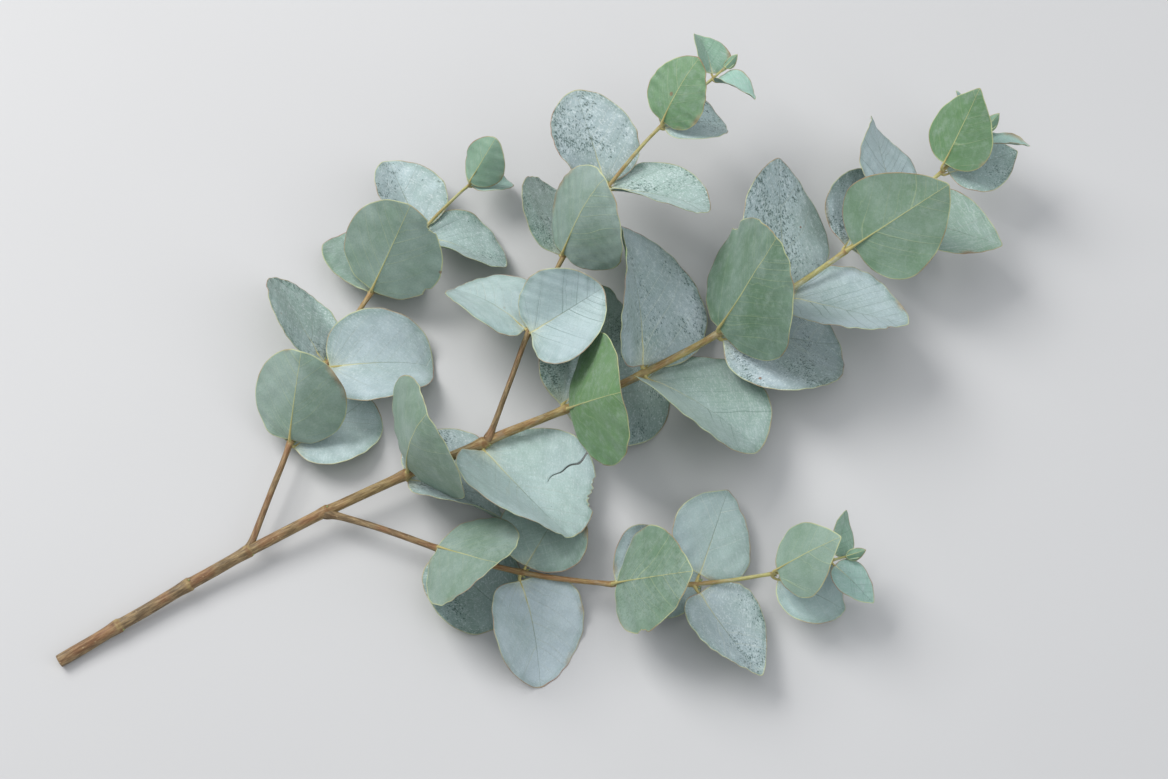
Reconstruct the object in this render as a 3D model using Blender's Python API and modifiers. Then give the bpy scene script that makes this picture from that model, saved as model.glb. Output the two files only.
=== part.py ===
"""Silver-dollar eucalyptus branch, cut and laid down on a flat surface.

A woody main stem with three side shoots carries opposite pairs of stalkless,
thin, rounded leaves.  Each pair stands at right angles to the one below it, so
along a shoot the pairs alternate between left/right and up/down.  The branch
lies as a cut branch does: on its cut end and on the leaves underneath, which
the surface presses flat.

Units are metres.  The branch points along +X, +Z is up, and the surface it lies
on is z = 0.  The origin is on that surface, under the middle of the branch.
"""

import itertools
import math

import bmesh
import bpy
import numpy as np
from mathutils import Matrix, Vector
from mathutils.bvhtree import BVHTree

# ---------------------------------------------------------------- dimensions
MM = 0.001
LEAF_THICKNESS = 0.6 * MM
SEED = 29  # the leaves' own habits
GAP = 0.3 * MM  # between one piece and the next
CLEAR = 0.6 * MM  # half of the air that a growing leaf keeps from the others
FLOOR_BLEND = 3.0 * MM  # how gently the surface bends a leaf that meets it
STALK = 1.0 * MM  # from the stem's bark to the blade's base
ORIGIN = (0.2825, -0.0032)  # the plan's middle, from the centre of the cut end

# Each shoot: centreline points (x, y, z) and radii, in mm, from its base up.
SHOOTS = {
    "main": dict(
        points=[(0, 0, 3.3), (60, 4, 6.4), (125, 6, 11), (196, 3, 16), (270, -4, 20),
                (345, -7, 23), (420, -2, 26), (490, 9, 31), (548, 24, 40)],
        radii=[3.3, 3.1, 2.8, 2.5, 2.2, 1.9, 1.5, 1.15, 0.75],
        bud=9.0,
    ),
    "left": dict(
        points=[(106, 5, 9.6), (126, 24, 11.5), (160, 56, 13), (204, 90, 15),
                (256, 118, 18), (306, 134, 24)],
        radii=[1.7, 1.6, 1.5, 1.3, 1.05, 0.65],
        bud=8.0,
    ),
    "right": dict(
        points=[(150, 5.5, 12.6), (172, -17, 14), (208, -56, 14.5), (255, -94, 16),
                (312, -124, 19), (368, -142, 26)],
        radii=[1.8, 1.7, 1.5, 1.3, 1.05, 0.65],
        bud=8.0,
    ),
    "upper": dict(
        points=[(240, -1, 18.6), (262, 17, 30), (298, 48, 40), (344, 79, 46),
                (394, 101, 51), (440, 113, 58)],
        radii=[1.5, 1.4, 1.25, 1.1, 0.9, 0.6],
        bud=7.0,
    ),
}

# Each node: distance up the shoot, leaf length, width over length, how pointed
# the tip is, how much wider the blade is towards its base, and the plane of the
# pair: H for left/right, V for up/down.
NODES = {
    "main": [
        (196, 62, 1.16, 0.00, 0.05, "V"),
        (238, 70, 1.20, 0.00, 0.06, "H"),
        (284, 75, 1.17, 0.00, 0.05, "V"),
        (329, 74, 1.12, 0.02, 0.08, "H"),
        (373, 72, 1.05, 0.04, 0.10, "V"),
        (415, 68, 0.97, 0.07, 0.14, "H"),
        (454, 63, 0.88, 0.11, 0.18, "V"),
        (490, 56, 0.82, 0.14, 0.20, "H"),
        (522, 46, 0.78, 0.15, 0.22, "V"),
        (547, 29, 0.76, 0.13, 0.20, "H"),
    ],
    "left": [
        (62, 50, 1.10, 0.00, 0.06, "V"),
        (108, 56, 1.08, 0.00, 0.08, "H"),
        (154, 54, 1.02, 0.02, 0.08, "V"),
        (197, 46, 0.98, 0.03, 0.10, "H"),
        (233, 28, 0.92, 0.04, 0.12, "V"),
    ],
    "right": [
        (62, 50, 1.05, 0.02, 0.08, "V"),
        (106, 58, 1.00, 0.05, 0.12, "H"),
        (151, 60, 0.92, 0.09, 0.16, "V"),
        (193, 55, 0.86, 0.12, 0.20, "H"),
        (232, 44, 0.80, 0.14, 0.20, "V"),
        (262, 27, 0.76, 0.14, 0.18, "H"),
    ],
    "upper": [
        (60, 46, 1.06, 0.00, 0.06, "H"),
        (104, 53, 1.04, 0.01, 0.08, "V"),
        (148, 51, 0.98, 0.03, 0.10, "H"),
        (192, 43, 0.92, 0.05, 0.12, "V"),
        (230, 26, 0.88, 0.06, 0.12, "H"),
    ],
}
# The side shoot "upper" grew where this leaf was, and the leaf has dropped.
DROPPED = {"main_leaf_02_left"}

# How a leaf of each place in its pair first points, in degrees: heading from
# the shoot's direction (left is plus), pitch above the horizontal, lean of the
# blade's upper face from the sky towards the shoot's tip.
PLACES = {
    "left": (60, 10, 32),
    "right": (-60, 8, 28),
    "up": (14, 50, 0),
    "down": (-24, -9, 0),
}
SIDE_SHOOT_DROOP = 7  # the leaves of a side shoot point this much lower
PAIRS = {"H": ("left", "right"), "V": ("up", "down")}
LAYER = {"down": 0, "left": 1, "right": 1, "up": 2}  # the order leaves settle in

# What a leaf may do to clear those that have settled: turn, lift, tip, shrink.
TURNS = (0, 7, -7, 14, -14, 22, -22, 32, -32)
LIFTS = (0, 6, -6, 12, 18, -12, 26, 36)
TIPS = (0, 14, -14, 28, -28)
SIZES = (1.0, 0.9, 0.8)

COLOURS = {  # base colour, roughness
    "stem": ((0.36, 0.29, 0.13, 1.0), 0.6),
    "shoot": ((0.40, 0.38, 0.18, 1.0), 0.6),
    "bud": ((0.42, 0.55, 0.35, 1.0), 0.6),
    "leaf": ((0.36, 0.47, 0.44, 1.0), 0.65),
}

UP = np.array([0.0, 0.0, 1.0])


def unit(v):
    return v / np.linalg.norm(v)


def turned(v, axis, angle):
    """v turned about a unit axis."""
    c, s = math.cos(angle), math.sin(angle)
    return v * c + np.cross(axis, v) * s + axis * (axis @ v) * (1 - c)


# ---------------------------------------------------------------- centrelines
class Shoot:
    """A natural cubic spline through the centreline's points, measured by its length."""

    def __init__(self, points, radii, bud):
        p = np.array(points, float) * MM
        self.knots = np.concatenate([[0], np.cumsum(np.linalg.norm(np.diff(p, axis=0), axis=1))])
        h, n = np.diff(self.knots), len(p)
        m, rhs = np.zeros((n, n)), np.zeros((n, 3))
        m[0, 0] = m[-1, -1] = 1
        for i in range(1, n - 1):
            m[i, i - 1 : i + 2] = h[i - 1], 2 * (h[i - 1] + h[i]), h[i]
            rhs[i] = 6 * ((p[i + 1] - p[i]) / h[i] - (p[i] - p[i - 1]) / h[i - 1])
        bend = np.linalg.solve(m, rhs)
        t = np.linspace(0, self.knots[-1], 600)
        k = np.clip(np.searchsorted(self.knots, t, side="right") - 1, 0, n - 2)
        a = ((self.knots[k + 1] - t) / h[k])[:, None]
        b = ((t - self.knots[k]) / h[k])[:, None]
        hk = h[k][:, None]
        self.line = a * p[k] + b * p[k + 1] + ((a**3 - a) * bend[k] + (b**3 - b) * bend[k + 1]) * hk**2 / 6
        self.reach = np.concatenate([[0], np.cumsum(np.linalg.norm(np.diff(self.line, axis=0), axis=1))])
        self.length = self.reach[-1]
        self.thick = np.interp(t, self.knots, np.array(radii) * MM)
        self.bud = bud * MM

    def at(self, s):
        return np.array([np.interp(s, self.reach, self.line[:, i]) for i in range(3)]).T

    def along(self, s):
        return unit(self.at(min(s + 0.002, self.length)) - self.at(max(s - 0.002, 0)))

    def radius(self, s):
        return np.interp(s, self.reach, self.thick)


# ---------------------------------------------------------------- leaf blades
def leaf_table():
    """Every leaf with its size, its place on the branch and its own habits."""
    chance = np.random.RandomState(SEED)
    leaves = []
    for shoot, nodes in NODES.items():
        for number, (s, length, ratio, point, ovate, plane) in enumerate(nodes, 1):
            side = 1 if number % 4 < 2 else -1
            for k, place in enumerate(PAIRS[plane]):
                r = chance.uniform(-1, 1, 16)
                heading, pitch, lean = PLACES[place]
                young = 1 - min(length, 50) / 50
                if plane == "V":
                    heading *= side
                if shoot in ("left", "right") and place != "up":
                    pitch -= SIDE_SHOOT_DROOP
                name = f"{shoot}_leaf_{number:02d}_{place}"
                if name in DROPPED:
                    continue
                leaves.append(dict(
                    name=name, shoot=shoot, place=place,
                    s=s * MM + (0.5 - k) * 1.2 * MM,
                    length=length * MM * (1 + 0.06 * r[0]),
                    ratio=ratio * (1 + 0.05 * r[1]),
                    point=point, ovate=ovate,
                    lobe=0.03 + 0.015 * r[2] + (0.035 if ratio > 1.03 else 0),
                    heading=heading + 8 * r[3] - 14 * young * np.sign(heading),
                    pitch=pitch + 6 * r[4] + (16 * young if place != "up" else 0),
                    lean=lean + 11 * r[5] + (18 * young if place != "up" else 0),
                    fold=15 + 10 * r[6] + 14 * young,
                    curl=(18 + 24 * r[7]) * (1 if place != "up" else -0.5),
                    cup=0.05 + 0.09 * r[8],
                    wave=0.024 + 0.018 * r[9],
                    waves=2 if r[10] < 0.1 else 3,
                    phase=3.1 * r[11],
                    twist=18 * r[12],
                    skew=0.05 * r[13],
                ))
    return leaves


def outline(leaf, phi):
    """The flat blade's edge as (x, y) for an angle phi about its middle: 0 is the tip, pi the notch where it meets the stem."""
    L, h = leaf["length"], leaf["length"] * leaf["ratio"] / 2
    xc = 0.47 * L
    front, back = L - xc, xc + leaf["lobe"] * L
    reach = front * (1 + np.cos(phi)) / 2 + back * (1 - np.cos(phi)) / 2
    sharp = np.exp(-np.sqrt(phi**2 + 0.006) / 0.32)
    tip = (1 + leaf["point"] * 1.6 * sharp) / (1 + leaf["point"] * 1.6 * math.exp(-math.sqrt(0.006) / 0.32))
    notch = 1 - (1 - xc / back) * np.exp(-(((math.pi - np.abs(phi)) / 0.30) ** 2))
    wide = 1 - leaf["ovate"] * 1.2 * np.cos(phi)
    slim = 1 - leaf["point"] * 0.55 * np.exp(-((phi / 0.9) ** 2))
    x = xc + reach * tip * notch * np.cos(phi)
    y = h * wide * slim * notch * np.sin(phi) + leaf["skew"] * h * np.sin(phi) ** 2
    return x, y


def blade(leaf, u, v):
    """Points on the middle of the blade, in its own axes, for u and v from -1 to 1. +X runs from the stem to the tip and +Z is the upper face."""
    a, b = u * np.sqrt(1 - v * v / 2), v * np.sqrt(1 - u * u / 2)
    rho, phi = np.hypot(a, b), np.arctan2(b, a)
    L, h = leaf["length"], leaf["length"] * leaf["ratio"] / 2
    xc = 0.47 * L
    ex, ey = outline(leaf, phi)
    x, y = xc + rho * (ex - xc), rho * ey
    # The two halves fold up along the midrib, and each half is cupped.
    soft = 0.14 * h
    rise = np.sqrt(y * y + soft * soft) - soft
    fold = math.radians(leaf["fold"])
    z = rise * math.sin(fold) + leaf["cup"] * y * y / h
    y = y * (1 - (1 - math.cos(fold)) * np.abs(y) / (np.abs(y) + soft))
    z = z + leaf["wave"] * L * rho**3 * np.sin(leaf["waves"] * phi + leaf["phase"])
    # The midrib curls back towards the tip and the blade twists about it.
    curl = math.radians(leaf["curl"]) or 1e-6
    turn = curl * x / L
    px = L * np.sin(turn) / curl + z * np.sin(turn)
    pz = -L * (1 - np.cos(turn)) / curl + z * np.cos(turn)
    twist = math.radians(leaf["twist"]) * x / L
    return np.stack([px, y * np.cos(twist) - pz * np.sin(twist), y * np.sin(twist) + pz * np.cos(twist)], -1)


def stance(leaf, shoot, turn=0.0, lift=0.0, tip=0.0):
    """The leaf's base point and its axes: along the midrib, across, and out of the upper face."""
    centre, T = shoot.at(leaf["s"]), shoot.along(leaf["s"])
    ahead = unit(np.array([T[0], T[1], 0.0]))
    side = np.cross(UP, ahead)
    head, pitch = math.radians(leaf["heading"] + turn), math.radians(leaf["pitch"] + lift)
    D = math.cos(pitch) * (math.cos(head) * ahead + math.sin(head) * side) + math.sin(pitch) * UP
    if leaf["place"] == "up":
        N = unit(T - (T @ D) * D)
        N = turned(N, D, math.radians(leaf["lean"] * 0.6 + tip))
    else:
        sky = unit(UP - (UP @ D) * D)
        forward = unit(np.cross(D, sky)) * (-1 if head < 0 else 1)
        forward = forward if forward @ T > 0 else -forward
        lean = math.radians(leaf["lean"] + tip)
        N = math.cos(lean) * sky + math.sin(lean) * forward
    out = unit(D - (D @ T) * T)
    base = centre + out * (shoot.radius(leaf["s"]) + STALK)
    return base, np.stack([D, np.cross(N, D), N], 1)


def on_surface(z):
    """Heights of the blade's middle, bent up where the surface is in the way."""
    k, low = FLOOR_BLEND, LEAF_THICKNESS / 2
    h = z - low
    return low + np.where(h > k, h, np.where(h > -k, (h + k) ** 2 / (4 * k), 0.0))


def placed_blade(leaf, base, axes, u, v):
    p = blade(leaf, u, v) @ axes.T + base
    p[..., 2] = on_surface(p[..., 2])
    return p


def cells(leaf):
    """How many grid cells the leaf's blade has each way."""
    return 8 if leaf["length"] > 58 * MM else 6 if leaf["length"] > 32 * MM else 5


def squares(n):
    ticks = np.linspace(-1, 1, n + 1)
    return np.meshgrid(ticks, ticks, indexing="ij")


def thick_tree(points, half):
    """A search tree of the blade thickened by half on each side."""
    n = points.shape[0]
    du, dv = np.gradient(points, axis=0), np.gradient(points, axis=1)
    normal = np.cross(du, dv)
    normal /= np.linalg.norm(normal, axis=-1, keepdims=True) + 1e-12
    ids = np.arange(n * n).reshape(n, n)
    quads = np.stack([ids[:-1, :-1], ids[1:, :-1], ids[1:, 1:], ids[:-1, 1:]], -1).reshape(-1, 4)
    edge = np.concatenate([ids[0, :-1], ids[:-1, -1], ids[-1, :0:-1], ids[:0:-1, 0]])
    walls = np.stack([edge, np.roll(edge, -1), np.roll(edge, -1) + n * n, edge + n * n], -1)
    flat = points.reshape(-1, 3)
    both = np.concatenate([flat + normal.reshape(-1, 3) * half, flat - normal.reshape(-1, 3) * half])
    faces = np.concatenate([quads, quads + n * n, walls])
    return BVHTree.FromPolygons(both.tolist(), faces.tolist()), both.min(0), both.max(0)


def tube_tree(shoot, more):
    """A search tree of a shoot's bark, grown by more."""
    s = np.linspace(0, shoot.length + shoot.bud, 60)
    ring = np.linspace(0, 2 * math.pi, 9)[:-1]
    points, faces = [], []
    end = shoot.along(shoot.length)
    for i, d in enumerate(s):
        t = shoot.along(min(d, shoot.length))
        c = shoot.at(min(d, shoot.length)) + end * max(d - shoot.length, 0)
        a = unit(np.cross(t, UP))
        b = np.cross(a, t)
        r = shoot.radius(min(d, shoot.length)) + more
        points += [c + r * (math.cos(q) * a + math.sin(q) * b) for q in ring]
        if i:
            k = 8 * i
            faces += [(k - 8 + j, k - 8 + (j + 1) % 8, k + (j + 1) % 8, k + j) for j in range(8)]
    points = np.array(points)
    return BVHTree.FromPolygons(points.tolist(), faces), points.min(0), points.max(0)


def moves():
    """What a leaf tries, from the least change to the most."""
    return sorted(
        itertools.product(SIZES, TURNS, LIFTS, TIPS),
        key=lambda m: (40 * (1 - m[0]) * 10 + abs(m[1]) + abs(m[2]) + 0.5 * abs(m[3]), m),
    )


def settle(shoots, leaves):
    """Leaves settle one by one, lowest layer first, and each takes the smallest move that keeps it clear of what is there."""
    bark = {n: (tube_tree(s, 0.25 * MM), tube_tree(s, CLEAR)) for n, s in shoots.items()}
    there, order = [], moves()
    rank = {n: i for i, n in enumerate(shoots)}
    stuck = []
    for leaf in sorted(leaves, key=lambda f: (LAYER[f["place"]], rank[f["shoot"]], f["s"])):
        full = leaf["length"]
        leaf["cells"] = cells(leaf)
        u, v = squares(leaf["cells"])
        best = None
        for size, turn, lift, tip in order:
            leaf["length"] = full * size
            base, axes = stance(leaf, shoots[leaf["shoot"]], turn, lift, tip)
            points = placed_blade(leaf, base, axes, u, v)
            near, low, high = thick_tree(points, LEAF_THICKNESS / 2)
            own = bark[leaf["shoot"]][0][0]
            if near.overlap(own):
                continue
            wide, low, high = thick_tree(points, LEAF_THICKNESS / 2 + CLEAR)
            others = there + [bark[n][1] for n in bark if n != leaf["shoot"]]
            if any((low < b).all() and (high > a).all() and wide.overlap(tree) for tree, a, b in others):
                continue
            best = (size, turn, lift, tip)
            break
        if best is None:
            stuck.append(leaf["name"])
            best = (1.0, 0, 0, 0)
            leaf["length"] = full
            base, axes = stance(leaf, shoots[leaf["shoot"]])
            points = placed_blade(leaf, base, axes, u, v)
        leaf["move"], leaf["base"], leaf["axes"] = best, base, axes
        there.append(thick_tree(points, LEAF_THICKNESS / 2))
    return stuck


# ---------------------------------------------------------------- making pieces
def material(name):
    colour, rough = COLOURS[name]
    m = bpy.data.materials.new(name)
    m.use_nodes = True
    shader = m.node_tree.nodes["Principled BSDF"]
    shader.inputs["Base Color"].default_value = colour
    shader.inputs["Roughness"].default_value = rough
    shader.inputs["Metallic"].default_value = 0.0
    return m


def tube(name, shoot, start, end, steps, collection, skin):
    """A tapering round stem: a poly curve with a round bevel."""
    data = bpy.data.curves.new(name, "CURVE")
    data.dimensions = "3D"
    data.bevel_depth = 1.0
    data.bevel_resolution = 2
    data.use_fill_caps = True
    line = data.splines.new("POLY")
    line.points.add(steps)
    for i, s in enumerate(np.linspace(start, end, steps + 1)):
        line.points[i].co = (*shoot.at(s), 1)
        line.points[i].radius = shoot.radius(s)
    obj = bpy.data.objects.new(name, data)
    collection.objects.link(obj)
    data.materials.append(skin)
    return obj


def as_mesh(obj):
    """The curve's evaluated shape as a mesh object with its caps joined on."""
    graph = bpy.context.evaluated_depsgraph_get()
    mesh = bpy.data.meshes.new_from_object(obj.evaluated_get(graph))
    b = bmesh.new()
    b.from_mesh(mesh)
    bmesh.ops.remove_doubles(b, verts=b.verts, dist=1e-6)
    bmesh.ops.recalc_face_normals(b, faces=b.faces)
    b.to_mesh(mesh)
    b.free()
    made = bpy.data.objects.new(obj.name + "_solid", mesh)
    made.matrix_world = obj.matrix_world
    for c in obj.users_collection:
        c.objects.link(made)
    name = obj.name
    bpy.data.objects.remove(obj)
    made.name = name
    return made


def leaf_piece(leaf, n, collection, skin):
    """A grid shaped into the blade in its own axes, then given its thickness."""
    b = bmesh.new()
    bmesh.ops.create_grid(b, x_segments=n, y_segments=n, size=1.0)
    co = np.array([v.co for v in b.verts])
    world = placed_blade(leaf, leaf["base"], leaf["axes"], co[:, 0], co[:, 1])
    own = (world - leaf["base"]) @ leaf["axes"]
    for vert, p in zip(b.verts, own):
        vert.co = p
    bmesh.ops.recalc_face_normals(b, faces=b.faces)
    mesh = bpy.data.meshes.new(leaf["name"])
    b.to_mesh(mesh)
    b.free()
    mesh.shade_smooth()
    mesh.materials.append(skin)
    obj = bpy.data.objects.new(leaf["name"], mesh)
    obj.matrix_world = Matrix.Translation(Vector(leaf["base"])) @ Matrix(leaf["axes"].tolist()).to_4x4()
    collection.objects.link(obj)
    skin_depth = obj.modifiers.new("thickness", "SOLIDIFY")
    skin_depth.thickness = LEAF_THICKNESS
    skin_depth.offset = 0.0
    skin_depth.use_even_offset = True
    return obj


def bud_piece(name, shoot, collection, skin):
    """The folded growing tip: a small spindle in line with the shoot's end."""
    b = bmesh.new()
    bmesh.ops.create_uvsphere(b, u_segments=8, v_segments=6, radius=1.0)
    r = shoot.radius(shoot.length) * 1.5
    for v in b.verts:
        v.co = (v.co.x * r, v.co.y * r * 0.8, v.co.z * shoot.bud / 2)
    mesh = bpy.data.meshes.new(name)
    b.to_mesh(mesh)
    b.free()
    mesh.shade_smooth()
    mesh.materials.append(skin)
    obj = bpy.data.objects.new(name, mesh)
    way = Vector(shoot.along(shoot.length))
    centre = Vector(shoot.at(shoot.length)) + way * (shoot.bud / 2 + GAP)
    obj.matrix_world = Matrix.Translation(centre) @ way.to_track_quat("Z", "Y").to_matrix().to_4x4()
    collection.objects.link(obj)
    return obj


def main():
    for obj in list(bpy.data.objects):
        bpy.data.objects.remove(obj)
    branch = bpy.data.collections.new("eucalyptus_branch")
    cutters = bpy.data.collections.new("cutters")
    for c in (branch, cutters):
        bpy.context.scene.collection.children.link(c)
    skins = {n: material(n) for n in COLOURS}

    shoots = {n: Shoot(**s) for n, s in SHOOTS.items()}
    leaves = leaf_table()
    stuck = settle(shoots, leaves)
    if stuck:
        print("leaves with no clear place:", stuck)

    pieces = []
    main_stem = tube("main_stem", shoots["main"], 0, shoots["main"].length, 26, branch, skins["stem"])
    pieces.append(main_stem)
    # A side shoot sits on the main stem in a saddle the shape of its bark.
    saddle = tube("saddle_cutter", shoots["main"], 0.02, 0.40, 30, cutters, skins["stem"])
    for point in saddle.data.splines[0].points:
        point.radius += GAP
    saddle = as_mesh(saddle)
    saddle.hide_render = True
    saddle.display_type = "WIRE"
    for name in ("left", "right", "upper"):
        shoot = shoots[name]
        piece = as_mesh(tube(f"{name}_side_shoot", shoot, 0, shoot.length, 14, branch, skins["shoot"]))
        cut = piece.modifiers.new("saddle", "BOOLEAN")
        cut.operation, cut.solver, cut.object = "DIFFERENCE", "EXACT", saddle
        pieces.append(piece)
    for name, shoot in shoots.items():
        pieces.append(bud_piece(f"{name}_tip_bud", shoot, branch, skins["bud"]))
    for leaf in leaves:
        pieces.append(leaf_piece(leaf, leaf["cells"], branch, skins["leaf"]))

    # Everything hangs from one empty, which puts the origin under the middle.
    middle = bpy.data.objects.new("middle", None)
    branch.objects.link(middle)
    middle.location = (-ORIGIN[0], -ORIGIN[1], 0)
    for obj in [*pieces, saddle]:
        obj.parent = middle
    return shoots, leaves


if __name__ == "__main__":
    main()
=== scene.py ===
"""The looks of a cut silver-dollar eucalyptus branch that lies on a pale surface.

Every leaf, stem and growing tip of the CAD model is replaced by a finely shaped
piece in the same place: thin blades with a raised midrib, a rounded rim, waves
and nibbled edges, and tapering stems with swollen nodes and buds.  Lengths are
metres, in the row frame.
"""

import itertools
import math

import bpy
import numpy as np
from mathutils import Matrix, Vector


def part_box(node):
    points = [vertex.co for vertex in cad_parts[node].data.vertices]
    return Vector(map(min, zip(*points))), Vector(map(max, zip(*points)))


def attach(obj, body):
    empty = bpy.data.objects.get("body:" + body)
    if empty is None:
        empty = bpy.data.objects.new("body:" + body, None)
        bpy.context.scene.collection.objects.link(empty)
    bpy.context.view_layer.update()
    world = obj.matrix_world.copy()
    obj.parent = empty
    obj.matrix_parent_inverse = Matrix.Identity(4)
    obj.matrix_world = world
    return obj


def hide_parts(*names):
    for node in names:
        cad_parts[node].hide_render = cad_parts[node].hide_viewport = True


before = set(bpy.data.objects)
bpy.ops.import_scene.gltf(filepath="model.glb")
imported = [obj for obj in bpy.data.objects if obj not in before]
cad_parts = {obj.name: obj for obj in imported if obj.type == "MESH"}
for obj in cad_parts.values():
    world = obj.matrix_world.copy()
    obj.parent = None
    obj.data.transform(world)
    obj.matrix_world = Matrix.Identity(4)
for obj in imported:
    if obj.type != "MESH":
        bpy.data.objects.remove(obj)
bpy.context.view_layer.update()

MM = 0.001
UP = np.array([0.0, 0.0, 1.0])

# ------------------------------------------------------------ the CAD's branch
# The same rules as the solids, so that each blade can be rebuilt more finely.
SEED = 29
CAD_THICKNESS = 0.6 * MM
FLOOR_BLEND = 3.0 * MM
STALK = 1.0 * MM
ORIGIN = np.array([0.2825, -0.0032, 0.0])

SHOOTS = {
    "main": dict(
        points=[(0, 0, 3.3), (60, 4, 6.4), (125, 6, 11), (196, 3, 16), (270, -4, 20),
                (345, -7, 23), (420, -2, 26), (490, 9, 31), (548, 24, 40)],
        radii=[3.3, 3.1, 2.8, 2.5, 2.2, 1.9, 1.5, 1.15, 0.75],
    ),
    "left": dict(
        points=[(106, 5, 9.6), (126, 24, 11.5), (160, 56, 13), (204, 90, 15),
                (256, 118, 18), (306, 134, 24)],
        radii=[1.7, 1.6, 1.5, 1.3, 1.05, 0.65],
    ),
    "right": dict(
        points=[(150, 5.5, 12.6), (172, -17, 14), (208, -56, 14.5), (255, -94, 16),
                (312, -124, 19), (368, -142, 26)],
        radii=[1.8, 1.7, 1.5, 1.3, 1.05, 0.65],
    ),
    "upper": dict(
        points=[(240, -1, 18.6), (262, 17, 30), (298, 48, 40), (344, 79, 46),
                (394, 101, 51), (440, 113, 58)],
        radii=[1.5, 1.4, 1.25, 1.1, 0.9, 0.6],
    ),
}
NODES = {
    "main": [
        (196, 62, 1.16, 0.00, 0.05, "V"),
        (238, 70, 1.20, 0.00, 0.06, "H"),
        (284, 75, 1.17, 0.00, 0.05, "V"),
        (329, 74, 1.12, 0.02, 0.08, "H"),
        (373, 72, 1.05, 0.04, 0.10, "V"),
        (415, 68, 0.97, 0.07, 0.14, "H"),
        (454, 63, 0.88, 0.11, 0.18, "V"),
        (490, 56, 0.82, 0.14, 0.20, "H"),
        (522, 46, 0.78, 0.15, 0.22, "V"),
        (547, 29, 0.76, 0.13, 0.20, "H"),
    ],
    "left": [
        (62, 50, 1.10, 0.00, 0.06, "V"),
        (108, 56, 1.08, 0.00, 0.08, "H"),
        (154, 54, 1.02, 0.02, 0.08, "V"),
        (197, 46, 0.98, 0.03, 0.10, "H"),
        (233, 28, 0.92, 0.04, 0.12, "V"),
    ],
    "right": [
        (62, 50, 1.05, 0.02, 0.08, "V"),
        (106, 58, 1.00, 0.05, 0.12, "H"),
        (151, 60, 0.92, 0.09, 0.16, "V"),
        (193, 55, 0.86, 0.12, 0.20, "H"),
        (232, 44, 0.80, 0.14, 0.20, "V"),
        (262, 27, 0.76, 0.14, 0.18, "H"),
    ],
    "upper": [
        (60, 46, 1.06, 0.00, 0.06, "H"),
        (104, 53, 1.04, 0.01, 0.08, "V"),
        (148, 51, 0.98, 0.03, 0.10, "H"),
        (192, 43, 0.92, 0.05, 0.12, "V"),
        (230, 26, 0.88, 0.06, 0.12, "H"),
    ],
}
DROPPED = {"main_leaf_02_left"}
PLACES = {"left": (60, 10, 32), "right": (-60, 8, 28), "up": (14, 50, 0), "down": (-24, -9, 0)}
SIDE_SHOOT_DROOP = 7
PAIRS = {"H": ("left", "right"), "V": ("up", "down")}
TURNS = (0, 7, -7, 14, -14, 22, -22, 32, -32)
LIFTS = (0, 6, -6, 12, 18, -12, 26, 36)
TIPS = (0, 14, -14, 28, -28)
SIZES = (1.0, 0.9, 0.8)
# Nodes on the bare lower stem, whose leaves were stripped before it was cut.
BARE = {"main": (34, 74, 108, 152, 240)}


def unit(v):
    return v / np.linalg.norm(v)


def turned(v, axis, angle):
    c, s = math.cos(angle), math.sin(angle)
    return v * c + np.cross(axis, v) * s + axis * (axis @ v) * (1 - c)


def smooth(a, b, x):
    """0 below a, 1 above b and a smooth step between. b may be below a."""
    t = np.clip((x - a) / (b - a), 0, 1)
    return t * t * (3 - 2 * t)


class Shoot:
    """A natural cubic spline through the centreline's points, measured by its length."""

    def __init__(self, points, radii):
        p = np.array(points, float) * MM
        self.knots = np.concatenate([[0], np.cumsum(np.linalg.norm(np.diff(p, axis=0), axis=1))])
        h, n = np.diff(self.knots), len(p)
        m, rhs = np.zeros((n, n)), np.zeros((n, 3))
        m[0, 0] = m[-1, -1] = 1
        for i in range(1, n - 1):
            m[i, i - 1 : i + 2] = h[i - 1], 2 * (h[i - 1] + h[i]), h[i]
            rhs[i] = 6 * ((p[i + 1] - p[i]) / h[i] - (p[i] - p[i - 1]) / h[i - 1])
        bend = np.linalg.solve(m, rhs)
        t = np.linspace(0, self.knots[-1], 600)
        k = np.clip(np.searchsorted(self.knots, t, side="right") - 1, 0, n - 2)
        a = ((self.knots[k + 1] - t) / h[k])[:, None]
        b = ((t - self.knots[k]) / h[k])[:, None]
        hk = h[k][:, None]
        self.line = a * p[k] + b * p[k + 1] + ((a**3 - a) * bend[k] + (b**3 - b) * bend[k + 1]) * hk**2 / 6
        self.reach = np.concatenate([[0], np.cumsum(np.linalg.norm(np.diff(self.line, axis=0), axis=1))])
        self.length = self.reach[-1]
        self.thick = np.interp(t, self.knots, np.array(radii) * MM)

    def at(self, s):
        return np.array([np.interp(s, self.reach, self.line[:, i]) for i in range(3)]).T

    def along(self, s):
        return unit(self.at(min(s + 0.002, self.length)) - self.at(max(s - 0.002, 0)))

    def radius(self, s):
        return np.interp(s, self.reach, self.thick)


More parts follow.
